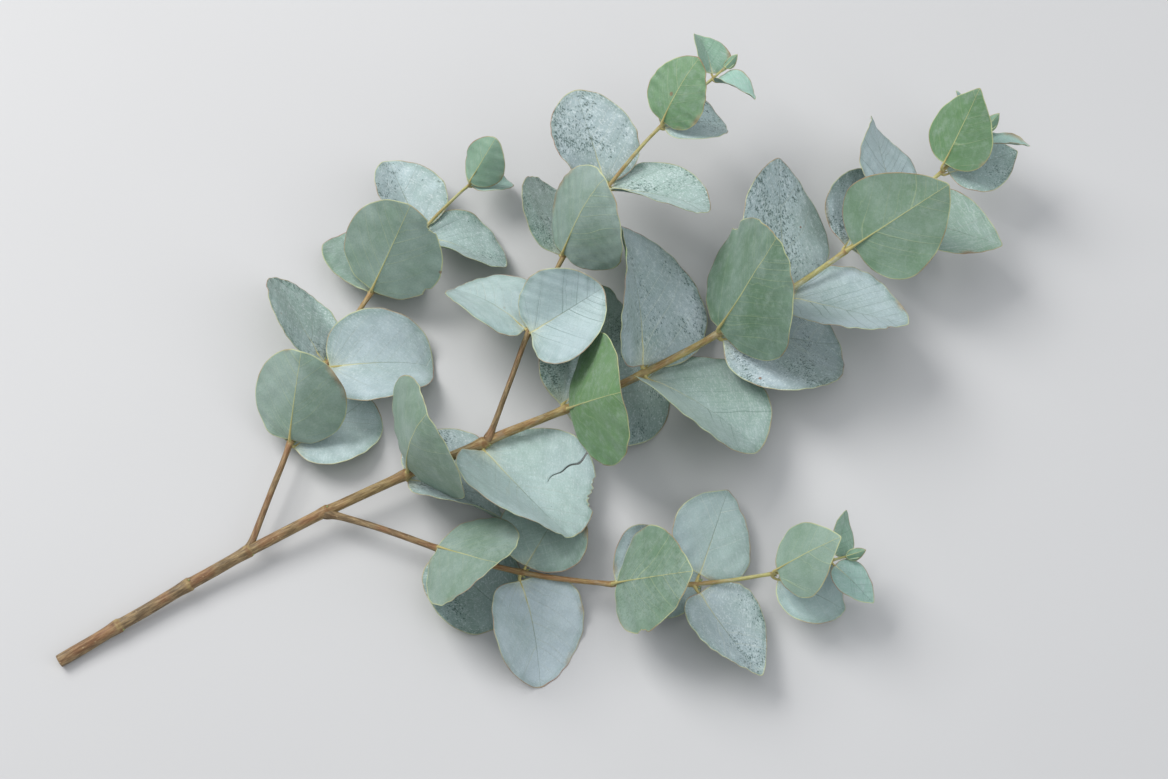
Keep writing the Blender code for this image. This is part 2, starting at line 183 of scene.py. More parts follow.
def leaf_table():
    chance = np.random.RandomState(SEED)
    leaves = []
    for shoot, nodes in NODES.items():
        for number, (s, length, ratio, point, ovate, plane) in enumerate(nodes, 1):
            side = 1 if number % 4 < 2 else -1
            for k, place in enumerate(PAIRS[plane]):
                r = chance.uniform(-1, 1, 16)
                heading, pitch, lean = PLACES[place]
                young = 1 - min(length, 50) / 50
                if plane == "V":
                    heading *= side
                if shoot in ("left", "right") and place != "up":
                    pitch -= SIDE_SHOOT_DROOP
                name = f"{shoot}_leaf_{number:02d}_{place}"
                if name in DROPPED:
                    continue
                leaves.append(dict(
                    name=name, shoot=shoot, place=place, number=number, count=len(nodes),
                    s=s * MM + (0.5 - k) * 1.2 * MM,
                    length=length * MM * (1 + 0.06 * r[0]),
                    ratio=ratio * (1 + 0.05 * r[1]),
                    point=point, ovate=ovate,
                    lobe=0.03 + 0.015 * r[2] + (0.035 if ratio > 1.03 else 0),
                    heading=heading + 8 * r[3] - 14 * young * np.sign(heading),
                    pitch=pitch + 6 * r[4] + (16 * young if place != "up" else 0),
                    lean=lean + 11 * r[5] + (18 * young if place != "up" else 0),
                    fold=15 + 10 * r[6] + 14 * young,
                    curl=(18 + 24 * r[7]) * (1 if place != "up" else -0.5),
                    cup=0.05 + 0.09 * r[8],
                    wave=0.024 + 0.018 * r[9],
                    waves=2 if r[10] < 0.1 else 3,
                    phase=3.1 * r[11],
                    twist=18 * r[12],
                    skew=0.05 * r[13],
                    young=young,
                ))
    return leaves


def outline(leaf, phi):
    L, h = leaf["length"], leaf["length"] * leaf["ratio"] / 2
    xc = 0.47 * L
    front, back = L - xc, xc + leaf["lobe"] * L
    reach = front * (1 + np.cos(phi)) / 2 + back * (1 - np.cos(phi)) / 2
    sharp = np.exp(-np.sqrt(phi**2 + 0.006) / 0.32)
    tip = (1 + leaf["point"] * 1.6 * sharp) / (1 + leaf["point"] * 1.6 * math.exp(-math.sqrt(0.006) / 0.32))
    notch = 1 - (1 - xc / back) * np.exp(-(((math.pi - np.abs(phi)) / 0.30) ** 2))
    wide = 1 - leaf["ovate"] * 1.2 * np.cos(phi)
    slim = 1 - leaf["point"] * 0.55 * np.exp(-((phi / 0.9) ** 2))
    x = xc + reach * tip * notch * np.cos(phi)
    y = h * wide * slim * notch * np.sin(phi) + leaf["skew"] * h * np.sin(phi) ** 2
    return x, y


def flat_blade(leaf, u, v, edge=None):
    """Where u and v from -1 to 1 lie on the flat blade: x, y, and rho and phi about its middle. edge(phi) shapes its margin."""
    a, b = u * np.sqrt(1 - v * v / 2), v * np.sqrt(1 - u * u / 2)
    rho, phi = np.hypot(a, b), np.arctan2(b, a)
    xc = 0.47 * leaf["length"]
    ex, ey = outline(leaf, phi)
    if edge is not None:
        grow = edge(phi)
        grow = 1 + grow * smooth(0.35, 1.0, rho)
        ex, ey = xc + (ex - xc) * grow, ey * grow
    return xc + rho * (ex - xc), rho * ey, rho, phi, np.hypot(ex - xc, ey)


def shaped(leaf, x, y, rho, phi, more=0.0):
    """Flat points folded, cupped, waved, curled and twisted into the blade in its own axes. more is an extra rise out of the upper face."""
    L, h = leaf["length"], leaf["length"] * leaf["ratio"] / 2
    soft = 0.14 * h
    rise = np.sqrt(y * y + soft * soft) - soft
    fold = math.radians(leaf["fold"])
    z = rise * math.sin(fold) + leaf["cup"] * y * y / h
    y = y * (1 - (1 - math.cos(fold)) * np.abs(y) / (np.abs(y) + soft))
    z = z + leaf["wave"] * L * rho**3 * np.sin(leaf["waves"] * phi + leaf["phase"]) + more
    curl = math.radians(leaf["curl"]) or 1e-6
    turn = curl * x / L
    px = L * np.sin(turn) / curl + z * np.sin(turn)
    pz = -L * (1 - np.cos(turn)) / curl + z * np.cos(turn)
    twist = math.radians(leaf["twist"]) * x / L
    return np.stack([px, y * np.cos(twist) - pz * np.sin(twist), y * np.sin(twist) + pz * np.cos(twist)], -1)


def stance(leaf, shoot, turn=0.0, lift=0.0, tip=0.0):
    centre, T = shoot.at(leaf["s"]), shoot.along(leaf["s"])
    ahead = unit(np.array([T[0], T[1], 0.0]))
    side = np.cross(UP, ahead)
    head, pitch = math.radians(leaf["heading"] + turn), math.radians(leaf["pitch"] + lift)
    D = math.cos(pitch) * (math.cos(head) * ahead + math.sin(head) * side) + math.sin(pitch) * UP
    if leaf["place"] == "up":
        N = unit(T - (T @ D) * D)
        N = turned(N, D, math.radians(leaf["lean"] * 0.6 + tip))
    else:
        sky = unit(UP - (UP @ D) * D)
        forward = unit(np.cross(D, sky)) * (-1 if head < 0 else 1)
        forward = forward if forward @ T > 0 else -forward
        lean = math.radians(leaf["lean"] + tip)
        N = math.cos(lean) * sky + math.sin(lean) * forward
    out = unit(D - (D @ T) * T)
    base = centre + out * (shoot.radius(leaf["s"]) + STALK)
    return base, np.stack([D, np.cross(N, D), N], 1)


def on_surface(z):
    """Heights bent up where the surface is in the way."""
    k, low = FLOOR_BLEND, CAD_THICKNESS / 2
    h = z - low
    return low + np.where(h > k, h, np.where(h > -k, (h + k) ** 2 / (4 * k), 0.0))


def vertex_normals(P):
    """Area-weighted normals of a grid of points."""
    f = np.cross(P[1:, 1:] - P[:-1, :-1], P[:-1, 1:] - P[1:, :-1])
    n = np.zeros_like(P)
    for i, j in ((0, 0), (1, 0), (0, 1), (1, 1)):
        n[i : i + f.shape[0], j : j + f.shape[1]] += f
    return n / (np.linalg.norm(n, axis=-1, keepdims=True) + 1e-15)


def find_stance(leaf, shoot):
    """The stance that the leaf's CAD solid has: the one of its possible moves whose box is that solid's."""
    lo, hi = (np.array(c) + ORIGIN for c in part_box(leaf["name"]))
    n = 8 if leaf["length"] > 58 * MM else 6 if leaf["length"] > 32 * MM else 5
    full, best = leaf["length"], None
    for size, turn, lift, tip in MOVES:
        leaf["length"] = full * size
        cells = 8 if leaf["length"] > 58 * MM else 6 if leaf["length"] > 32 * MM else 5
        cells = n if size == 1.0 else cells
        u, v = np.meshgrid(np.linspace(-1, 1, n + 1), np.linspace(-1, 1, n + 1), indexing="ij")
        base, axes = stance(leaf, shoot, turn, lift, tip)
        x, y, rho, phi, _ = flat_blade(leaf, u, v)
        P = shaped(leaf, x, y, rho, phi) @ axes.T + base
        P[..., 2] = on_surface(P[..., 2])
        N = vertex_normals(P) * CAD_THICKNESS / 2
        both = np.concatenate([(P + N).reshape(-1, 3), (P - N).reshape(-1, 3)])
        off = max(np.abs(both.min(0) - lo).max(), np.abs(both.max(0) - hi).max())
        if best is None or off < best[0]:
            best = (off, size, base, axes)
        if off < 0.25 * MM:
            break
    leaf["length"] = full * best[1]
    leaf["base"], leaf["axes"], leaf["off"] = best[2], best[3], best[0]


MOVES = sorted(
    itertools.product(SIZES, TURNS, LIFTS, TIPS),
    key=lambda m: (40 * (1 - m[0]) * 10 + abs(m[1]) + abs(m[2]) + 0.5 * abs(m[3]), m),
)

# ------------------------------------------------------------ building meshes
class Build:
    """Collects points, faces and per-point values, and makes one smooth mesh object."""

    def __init__(self):
        self.points, self.faces, self.maps, self.values, self.count = [], [], [], {}, 0

    def add(self, points, faces, bake, **values):
        """bake is one (u, v) per corner of each face, for baking."""
        points = np.asarray(points, float).reshape(-1, 3)
        n = len(points)
        self.points.append(points)
        self.faces += [tuple(int(i) + self.count for i in f) for f in faces]
        self.maps.append(np.asarray(bake, float).reshape(-1, 2))
        for k, v in values.items():
            self.values.setdefault(k, []).append(np.broadcast_to(np.asarray(v, float), (n, 3)))
        self.count += n

    def make(self, name, material, slot, node):
        mesh = bpy.data.meshes.new(name)
        mesh.from_pydata((np.concatenate(self.points) - ORIGIN).tolist(), [], self.faces)
        for k, v in self.values.items():
            layer = mesh.attributes.new(k, "FLOAT_VECTOR", "POINT")
            layer.data.foreach_set("vector", np.concatenate(v).astype(np.float32).ravel())
        uv = mesh.uv_layers.new(name="OFBake")
        uv.data.foreach_set("uv", np.concatenate(self.maps).astype(np.float32).ravel())
        # The hidden ends where two stretches of stem meet stay flat, so that they don't turn the bark's normals.
        mesh.polygons.foreach_set("use_smooth", [len(f.vertices) < 20 or f.area < 2e-6 for f in mesh.polygons])
        mesh.materials.append(material)
        mesh.update()
        obj = bpy.data.objects.new(name, mesh)
        bpy.context.scene.collection.objects.link(obj)
        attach(obj, "root")
        if node:
            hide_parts(node)
        return obj


def rings(centres, sides_a, sides_b, radii, n, phase=0.0):
    """Points of a tube: rings of n about centres, in the plane of the two side vectors."""
    q = np.arange(n) / n * 2 * math.pi + phase
    r = radii if np.ndim(radii) == 2 else np.asarray(radii)[:, None] * np.ones(n)
    return (
        centres[:, None, :]
        + r[..., None] * (np.cos(q)[None, :, None] * sides_a[:, None, :] + np.sin(q)[None, :, None] * sides_b[:, None, :])
    )


def tube_faces(m, n):
    return [(i * n + j, i * n + (j + 1) % n, (i + 1) * n + (j + 1) % n, (i + 1) * n + j) for i in range(m - 1) for j in range(n)]


def tube_map(m, n, box, rows=None):
    """Bake corners for tube_faces, in box = (u0, v0, u1, v1). rows are where the rings lie from 0 to 1."""
    rows = np.linspace(0, 1, m) if rows is None else rows
    out = []
    for i in range(m - 1):
        a, b = (box[0] + (box[2] - box[0]) * rows[k] for k in (i, i + 1))
        for j in range(n):
            c, d = (box[1] + (box[3] - box[1]) * k / n for k in (j, j + 1))
            out += [(a, c), (a, d), (b, d), (b, c)]
    return out


def add_sheet(build, P, N, above, below, keep, u, v, rim, **values):
    """A closed thin sheet on a grid of points, with a rounded rim. keep says which cells are there. info holds the distance to the rim, the side (1 upper, 0 lower) and 0."""
    nu, nv = P.shape[:2]
    top, low = P + N * above[..., None], P - N * below[..., None]
    low[..., 2] = np.maximum(low[..., 2], 0.02 * MM)
    top[..., 2] = np.maximum(top[..., 2], 0.02 * MM)
    ids = np.arange(nu * nv).reshape(nu, nv)
    S, T = (u + 1) / 2, (v + 1) / 2
    flat_map = lambda side: np.stack([0.014 + 0.448 * S + 0.476 * side, 0.015 + 0.97 * T], -1).reshape(-1, 2)
    map_top, map_low = flat_map(0), flat_map(1)
    I, J = np.nonzero(keep)
    q = np.stack([ids[I, J], ids[I + 1, J], ids[I + 1, J + 1], ids[I, J + 1]], 1)
    flip = q[:, ::-1]
    faces = [*q.tolist(), *(flip + nu * nv).tolist()]
    bake = [map_top[q].reshape(-1, 2), map_low[flip].reshape(-1, 2)]
    # The boundary: every cell side with no cell beyond it, in the cell's own turning direction.
    full = np.zeros((nu + 1, nv + 1), bool)
    full[1:-1, 1:-1] = keep
    sides = []
    for di, dj, a, b in ((0, -1, 0, 1), (1, 0, 1, 2), (0, 1, 2, 3), (-1, 0, 3, 0)):
        alone = ~full[I + 1 + di, J + 1 + dj]
        sides.append(np.stack([q[alone, a], q[alone, b]], 1))
    sides = np.concatenate(sides)
    centre = np.zeros((nu * nv, 3))
    seen = np.zeros(nu * nv)
    flatP = P.reshape(-1, 3)
    cell = flatP[q].mean(1)
    for k in range(4):
        np.add.at(centre, q[:, k], cell)
        np.add.at(seen, q[:, k], 1)
    edge_ids = np.unique(sides)
    out = flatP[edge_ids] - centre[edge_ids] / seen[edge_ids][:, None]
    n_e = N.reshape(-1, 3)[edge_ids]
    out -= (out * n_e).sum(1, keepdims=True) * n_e
    out /= np.linalg.norm(out, axis=1, keepdims=True) + 1e-12
    t_e, l_e = top.reshape(-1, 3)[edge_ids], low.reshape(-1, 3)[edge_ids]
    mid = (t_e + l_e) / 2 + out * 0.11 * MM
    mid[:, 2] = np.maximum(mid[:, 2], 0.06 * MM)
    where = np.full(nu * nv, -1)
    where[edge_ids] = np.arange(len(edge_ids))
    m0 = 2 * nu * nv
    pushed = lambda m, c: m + (m - c) / (np.linalg.norm(m - c, axis=-1, keepdims=True) + 1e-9) * 0.006
    a, b = sides[:, 0], sides[:, 1]
    ma, mb = where[a] + m0, where[b] + m0
    faces += np.stack([b, a, ma, mb], 1).tolist()
    faces += np.stack([mb, ma, a + nu * nv, b + nu * nv], 1).tolist()
    ct, cl = np.array([0.238, 0.5]), np.array([0.714, 0.5])
    bake.append(np.stack([map_top[b], map_top[a], pushed(map_top[a], ct), pushed(map_top[b], ct)], 1).reshape(-1, 2))
    bake.append(np.stack([pushed(map_low[b], cl), pushed(map_low[a], cl), map_low[a], map_low[b]], 1).reshape(-1, 2))
    rim = rim.reshape(-1)
    info = np.concatenate([
        np.stack([rim, np.ones_like(rim), 0 * rim], 1),
        np.stack([rim, 0 * rim, 0 * rim], 1),
        np.stack([0 * rim[edge_ids], 0 * rim[edge_ids] + 0.5, 0 * rim[edge_ids]], 1),
    ])
    flat = values.pop("flat").reshape(-1, 3)
    build.add(
        np.concatenate([top.reshape(-1, 3), low.reshape(-1, 3), mid]), faces, np.concatenate(bake),
        info=info, flat=np.concatenate([flat, flat, flat[edge_ids]]), **values,
    )


# Nibbled edges: leaf name to (angle round the blade in degrees, half width, depth), both as part of the blade.
NIBBLES = {
    "main_leaf_02_right": [(48, 0.085, 0.11), (61, 0.05, 0.06)],
    "main_leaf_05_up": [(-78, 0.06, 0.07)],
    "left_leaf_03_up": [(35, 0.07, 0.08), (118, 0.045, 0.05)],
    "upper_leaf_02_down": [(-50, 0.08, 0.09)],
    "right_leaf_03_up": [(95, 0.06, 0.06)],
    "main_leaf_06_right": [(-25, 0.05, 0.06)],
}
# Torn slits: leaf name to (where along the blade, which half, how far in from the edge).
SLITS = {"main_leaf_02_right": (0.05, 1, 0.34)}


def fine_leaf(build, leaf, to_world, chance, cells=(52, 60), habit=(0.8, 0.1, 0.0), habit2=(0.2, 0.1, 0.05)):
    L, h = leaf["length"], leaf["length"] * leaf["ratio"] / 2
    tick_u, tick_v = np.linspace(-1, 1, cells[0] + 1), np.linspace(-1, 1, cells[1] + 1)
    tick_u = 0.72 * tick_u + 0.28 * np.sin(tick_u * math.pi / 2)
    tick_v = np.sign(tick_v) * (0.62 * np.abs(tick_v) ** 1.7 + 0.38 * np.sin(np.abs(tick_v) * math.pi / 2) ** 1.15)
    u, v = np.meshgrid(tick_u, tick_v, indexing="ij")
    keep = np.ones((cells[0], cells[1]), bool)
    slit = SLITS.get(leaf["name"])
    if slit:
        at, side, deep = slit
        k = int(np.argmin(np.abs(tick_u - at)))
        far = np.abs(v[k]) * (np.sign(v[k]) == side)
        inside = far > deep
        wander = 0.035 * np.sin(far * 9) + 0.02 * np.sin(far * 23 + 1)
        gap = np.where(inside, 0.010 + 0.045 * np.clip((far - deep) / (1 - deep), 0, 1) ** 1.1, 0)
        step = tick_u[k + 1] - tick_u[k]
        blend = smooth(deep - 0.25, deep, far)
        for i in range(len(tick_u)):
            near = math.exp(-(((i - k - 0.5) / 7.0) ** 2))
            u[i] += wander * near * blend
        u[k] = np.where(inside, u[k] + step / 2 - gap / 2, u[k])
        u[k + 1] = np.where(inside, u[k + 1] - step / 2 + gap / 2, u[k + 1])
        cell_in = inside[:-1] & inside[1:]
        keep[k, cell_in] = False
        u = np.clip(u, -1, 1)
    r = chance.uniform(-1, 1, 40)

    def edge(phi):
        e = 0.005 * np.sin(5 * phi + 3 * r[0]) + 0.0035 * np.sin(8 * phi + 3 * r[1]) + 0.0018 * np.sin(13 * phi + 3 * r[2])
        e = e + 0.0011 * np.sin(23 * phi + 3 * r[3]) * (0.5 + 0.5 * np.sin(2 * phi + 3 * r[4]))
        e = e * smooth(math.pi, math.pi - 0.5, np.abs(phi)) * smooth(0.0, 0.3, np.abs(phi))
        for angle, half, deep in NIBBLES.get(leaf["name"], ()):
            d = (phi - math.radians(angle)) / (half * 2)
            ragged = 1 + 0.16 * np.sin(phi * 75 + angle) + 0.10 * np.sin(phi * 131)
            e = e - deep * np.clip(1 - d * d, 0, 1) ** 0.8 * ragged
        return e

    x, y, rho, phi, reach = flat_blade(leaf, u, v, edge)
    # Slow unevenness of the blade, livelier towards its rim.
    more = np.zeros_like(x)
    for i in range(6):
        way, long = 3.1 * r[5 + i], (11 + 5 * r[12 + i]) * MM * (0.5 + L / (0.12))
        more += 0.10 * MM * np.sin((x * math.cos(way) + y * math.sin(way)) * 2 * math.pi / long + 3 * r[20 + i])
    more *= 0.35 + 0.9 * rho**2
    lively = 0.55 + 0.45 * np.sin(2 * phi + 3 * r[32])
    more += L * rho**6 * lively * (0.0042 * np.sin(7 * phi + 3 * r[30]) + 0.0016 * np.sin(15 * phi + 3 * r[31]))
    P = to_world(shaped(leaf, x, y, rho, phi, more))
    N = vertex_normals(P)
    xl = np.clip(x / L, 0, 1)
    body = 0.20 * MM * (1 - 0.45 * rho**6) * (0.75 + 0.25 * min(1, L / 0.05))
    wide = (0.55 + 0.5 * (1 - xl)) * MM * (0.5 + L / 0.12)
    ridge = np.exp(-((y / wide) ** 2)) * (1 - rho**8)
    groove = np.exp(-((y / (0.5 * wide)) ** 2)) * (1 - rho**8)
    above = body - 0.10 * MM * groove * (1 - 0.6 * xl)
    below = body + (0.34 * (1 - xl) ** 1.3 + 0.05) * MM * ridge * min(1, L / 0.05)
    rim = np.maximum(1 - rho, 0) * reach
    seed = 0.37 * leaf.get("index", 0)
    flat = np.stack([x, y, 0 * x + seed], -1)
    add_sheet(build, P, N, above, below, keep, u, v, rim, flat=flat, habit=habit, habit2=(habit2[0], habit2[1], L))
    return P, N, x, y


def leaf_stalk(build, leaf, to_world, root, habit, habit2):
    """The short stalk and the thick lower midrib, from inside the bark to half way up the blade's underside."""
    L = leaf["length"]
    x = L * np.linspace(0, 0.55, 22) ** 1.4
    xc = 0.47 * L
    rho = np.abs(x - xc) / np.where(x < xc, xc, L - xc)
    mid = to_world(shaped(leaf, x, 0 * x, rho, np.where(x < xc, math.pi, 0.0)))
    side = to_world(shaped(leaf, x, 0 * x + 0.3 * MM, rho, np.where(x < xc, math.pi, 0.0)))
    tangent = np.gradient(mid, axis=0)
    tangent /= np.linalg.norm(tangent, axis=1, keepdims=True)
    across = side - mid
    across -= (across * tangent).sum(1, keepdims=True) * tangent
    across /= np.linalg.norm(across, axis=1, keepdims=True)
    normal = np.cross(tangent, across)
    r0 = (0.42 + 0.0085 * L / MM) * MM
    r = r0 * (1 - 0.88 * (x / x[-1]) ** 0.6)
    r = np.minimum(r, r0)
    centre = mid - normal * (0.12 * MM + 0.72 * r)[:, None]
    # The stalk bends out of the bark in one curve.
    k = int(np.searchsorted(x, min(2.2 * MM, 0.12 * L)))
    t = np.linspace(0, 1, 10)[:-1, None]
    lead = (1 - t) ** 2 * root + 2 * t * (1 - t) * centre[0] + t**2 * centre[k]
    widths = np.concatenate([r0 * 1.35 + (r[k] - r0 * 1.35) * t[:, 0] ** 0.7, r[k:]])
    centre = np.concatenate([lead, centre[k:]])
    tangent = np.gradient(centre, axis=0)
    tangent /= np.linalg.norm(tangent, axis=1, keepdims=True)
    a = np.concatenate([np.repeat(across[k : k + 1], 9, 0), across[k:]])
    a -= (a * tangent).sum(1, keepdims=True) * tangent
    a /= np.linalg.norm(a, axis=1, keepdims=True)
    b = np.cross(tangent, a)
    n = 10
    pts = rings(centre, a, b, widths, n).reshape(-1, 3)
    pts[:, 2] = np.maximum(pts[:, 2], 0.02 * MM)
    m = len(centre)
    faces = tube_faces(m, n)
    caps = [tuple(range(n))[::-1], tuple(range((m - 1) * n, m * n))]
    bake = [(v0, u0) for u0, v0 in tube_map(m, n, (0.02, 0.956, 0.90, 0.992))]
    for spot in (0.93, 0.97):
        bake += [(0.974 + 0.012 * math.cos(k), spot + 0.012 * math.sin(k)) for k in np.arange(n) / n * 2 * math.pi]
    along = np.concatenate([np.zeros(9), x[k:]])
    flat = np.stack([np.repeat(along, n), np.zeros(m * n), np.full(m * n, 0.37 * leaf.get("index", 0))], 1)
    info = np.stack([np.full(m * n, 5 * MM), np.zeros(m * n), np.repeat(1 - 0.75 * np.clip(along / (0.5 * L), 0, 1), n)], 1)
    build.add(pts, faces + caps, bake, info=info, flat=flat, habit=habit, habit2=(habit2[0], habit2[1], L))


# ------------------------------------------------------------ stems
def stem(builds, name, shoot, places, scars, seed, cuts):
    """A stem with swollen nodes, faint ridges below each leaf, and a flare where a side shoot leaves the main stem. It goes into one build per stretch between cuts, and two stretches share the ring where they meet."""
    chance = np.random.RandomState(seed)
    nodes = sorted(set(list(places) + list(scars)))
    s = [0.0, 0.25 * MM, 0.8 * MM]
    while s[-1] < shoot.length:
        near = min([abs(s[-1] - k) for k in nodes] + [1])
        s.append(s[-1] + (0.45 * MM if near < 5 * MM else 1.3 * MM))
    s = np.array([*s[:-1], shoot.length])
    n = 24
    q = np.arange(n) / n * 2 * math.pi
    centre = shoot.at(s)
    T = np.array([shoot.along(k) for k in s])
    A = np.cross(T, UP)
    A /= np.linalg.norm(A, axis=1, keepdims=True)
    B = np.cross(A, T)
    R = shoot.radius(s)
    # A slight kink from node to node keeps the stem from being a drawn curve.
    marks = np.array([-0.01, *nodes, shoot.length + 0.02])
    sway_a = np.interp(s, marks, chance.uniform(-0.45, 0.45, len(marks)) * MM)
    sway_b = np.interp(s, marks, chance.uniform(-0.3, 0.3, len(marks)) * MM)
    calm = smooth(0, 8 * MM, s) * smooth(shoot.length, shoot.length - 8 * MM, s)
    for k in nodes:
        calm = calm * (1 - np.exp(-(((s - k) / (5 * MM)) ** 2)))
    kernel = np.ones(9) / 9
    sway_a, sway_b = (np.convolve(np.pad(w * calm, 4, "edge"), kernel, "valid") for w in (sway_a, sway_b))
    centre = centre + A * sway_a[:, None] + B * sway_b[:, None]
    r = R[:, None] * np.ones(n)
    close = np.zeros(len(s))
    for i, k in enumerate(nodes):
        d = s - k
        below = np.exp(-((d / (4.2 * MM)) ** 2)) * (d < 0)
        above = np.exp(-((d / (1.3 * MM)) ** 2)) * (d >= 0)
        bare = k in scars and k not in places
        r += (R * (0.17 if bare else 0.20) * (below + above))[:, None]
        r += 0.10 * MM * np.exp(-(((d - 0.5 * MM) / (0.5 * MM)) ** 2))[:, None]
        close = np.maximum(close, np.exp(-((d / (2.0 * MM)) ** 2)))
        turn = (0 if places.get(k, "H") == "H" else math.pi / 2) if k in places else i * math.pi / 2
        fade = np.exp(d / (9 * MM)) * (d < 0)
        r += 0.12 * MM * fade[:, None] * np.cos(2 * (q - turn))[None, :].clip(0) ** 3
    for i in range(9):
        a, b, c = chance.uniform(-1, 1, 3)
        r += 0.022 * R[:, None] * np.sin(s[:, None] * (140 + 90 * a) + (1 + i % 3) * q[None, :] + 3 * b) * (0.6 + 0.4 * c)
    woody = smooth(0.30, 0.0, s if name == "main" else s + 0.2)
    for i in range(5):
        a, b = chance.uniform(-1, 1, 2)
        r += (0.030 * MM * woody)[:, None] * np.sin((5 + 2 * i) * q[None, :] + 3 * np.sin(s[:, None] * (60 + 20 * a)) + 3 * b)
    if name != "main":
        main_r = 2.6 * MM
        r += (R * 0.85 * np.exp(-np.clip(s - main_r, 0, 1) / (2.6 * MM)))[:, None]
    else:
        r[0] -= 0.14 * MM
        r[1] -= 0.05 * MM
    pts = rings(centre, A, B, r, n)
    pts[..., 2] = np.maximum(pts[..., 2], 0.02 * MM)
    m = len(s)
    # Both ends close over smaller and smaller rings. The lower end of the main stem shows its cut: bark, pale wood and a small pith.
    fractions = np.array([0.94, 0.87, 0.6, 0.34, 0.18, 0.07])
    k = len(fractions)

    def end_rings(end, way, shown):
        out = []
        for f in fractions:
            dent = (-0.02 if f > 0.9 else 0.12 if f > 0.2 else -0.06) * MM if shown else 0.05 * MM * (1 - f)
            rough = (0.03 * np.sin(3 * q + f * 20) + 0.02 * np.sin(7 * q + 9 * f)) * MM * shown
            out.append(centre[end] + (pts[end] - centre[end]) * f + way * T[end] * (dent + rough)[:, None])
        return np.array(out)

    shown = 1.0 if name == "main" else 0.0
    whole = np.concatenate([end_rings(0, -1, shown)[::-1], pts, end_rings(m - 1, 1, 0.0)])
    whole[..., 2] = np.maximum(whole[..., 2], 0.02 * MM)
    total = m + 2 * k
    ring = np.concatenate([fractions[::-1], np.ones(m), fractions])
    disc = lambda spot: np.array(spot) + 0.035 * ring[:, None, None] * np.stack([np.cos(q), np.sin(q)], -1)[None]
    on_disc = {0: disc((0.04, 0.95)), 1: disc((0.13, 0.95))}
    where = np.concatenate([np.zeros(k), s, np.full(k, shoot.length)])
    wide = np.concatenate([np.full(k, R[0]), R, np.full(k, R[-1])])
    near = np.concatenate([fractions[::-1], close, np.zeros(k)])
    kind = np.concatenate([np.full(k, shown), np.zeros(m + k)])
    joins = [k + int(np.argmin(np.abs(s - c))) for c in cuts]
    for build, first, last in zip(builds, [0, *joins], [*joins, total - 1]):
        lower, upper = where[first], where[last]
        long, bark = upper - lower, slice(max(first, k), min(last, k + m - 1) + 1)
        bands = max(1, round(math.sqrt(0.87 * long / (2 * math.pi * wide[bark].mean()))))
        rows = last - first + 1
        faces, bake = [], []
        for i in range(first, last):
            f = (i - first) * n
            for j in range(n):
                j2 = (j + 1) % n
                faces.append((f + n + j, f + n + j2, f + j2, f + j))
                if i < k or i >= k + m - 1:
                    d = on_disc[0 if i < k else 1]
                    bake += [d[i + 1, j], d[i + 1, j2], d[i, j2], d[i, j]]
                else:
                    band = int(bands * ((where[i] + where[i + 1]) / 2 - lower) / long)
                    a0, a1 = (0.02 + 0.96 * ((where[w] - lower) / long * bands - band) for w in (i, i + 1))
                    c0, c1 = (0.008 + 0.89 / bands * (band + 0.03 + 0.94 * w / n) for w in (j, j + 1))
                    bake += [(a1, c0), (a1, c1), (a0, c1), (a0, c0)]
        faces += [tuple(range(n)), tuple(range((rows - 1) * n, rows * n))[::-1]]
        bake += [on_disc[0][first, j] for j in range(n)] + [on_disc[1][last, j] for j in range(n)][::-1]
        over = lambda x: np.repeat(x[first : last + 1], n)
        across = np.tile(q, rows)
        build.add(
            whole[first : last + 1].reshape(-1, 3), faces, bake,
            bark=np.stack([over(where), across * over(wide), np.full(rows * n, seed * 0.31)], 1),
            stem=np.stack([over(where / shoot.length), over(near), over(kind)], 1),
            round=np.stack([np.cos(across) * over(ring), np.sin(across) * over(ring), np.zeros(rows * n)], 1),
        )


def spindle(build, centre, way, long, wide, kind, seed, along, spot, flatten=1.0):
    """A small pointed bud with a seam between its two scales."""
    way = unit(way)
    a = unit(np.cross(way, UP + 0.01))
    b = np.cross(way, a)
    m, n = 10, 12
    t = np.linspace(0, 1, m)
    profile = np.sin((t * 0.86 + 0.12) * math.pi) ** 0.75 * (1 - 0.35 * t)
    profile[-1] = 0.04
    q = np.arange(n) / n * 2 * math.pi
    r = wide / 2 * profile[:, None] * (1 - 0.16 * np.abs(np.sin(q))[None, :] ** 6)
    c = centre + way * (t * long)[:, None]
    pts = rings(c, np.repeat(a[None], m, 0), np.repeat(b[None] * flatten, m, 0), r, n).reshape(-1, 3)
    pts[:, 2] = np.maximum(pts[:, 2], 0.02 * MM)
    faces = tube_faces(m, n) + [tuple(range(n))[::-1], tuple(range((m - 1) * n, m * n))]
    dot = lambda up: [(spot[0] + 0.0235 + 0.0015 * math.cos(k), spot[1] + up + 0.0015 * math.sin(k)) for k in q]
    bake = tube_map(m, n, (spot[0], spot[1], spot[0] + 0.02, spot[1] + 0.03)) + dot(0.005) + dot(0.012)
    k = m * n
    build.add(pts, faces, bake,
              bark=np.stack([np.repeat(t * long, n), np.tile(q, m) * wide / 2, np.full(k, seed * 0.17)], 1),
              stem=np.stack([np.full(k, along), np.repeat(t, n), np.full(k, kind)], 1),
              round=np.stack([np.tile(np.cos(q), m), np.tile(np.sin(q), m), np.zeros(k)], 1))


# ------------------------------------------------------------ materials
def linear(r, g, b):
    f = lambda c: c / 12.92 if c <= 0.04045 else ((c + 0.055) / 1.055) ** 2.4
    return (f(r / 255), f(g / 255), f(b / 255), 1.0)


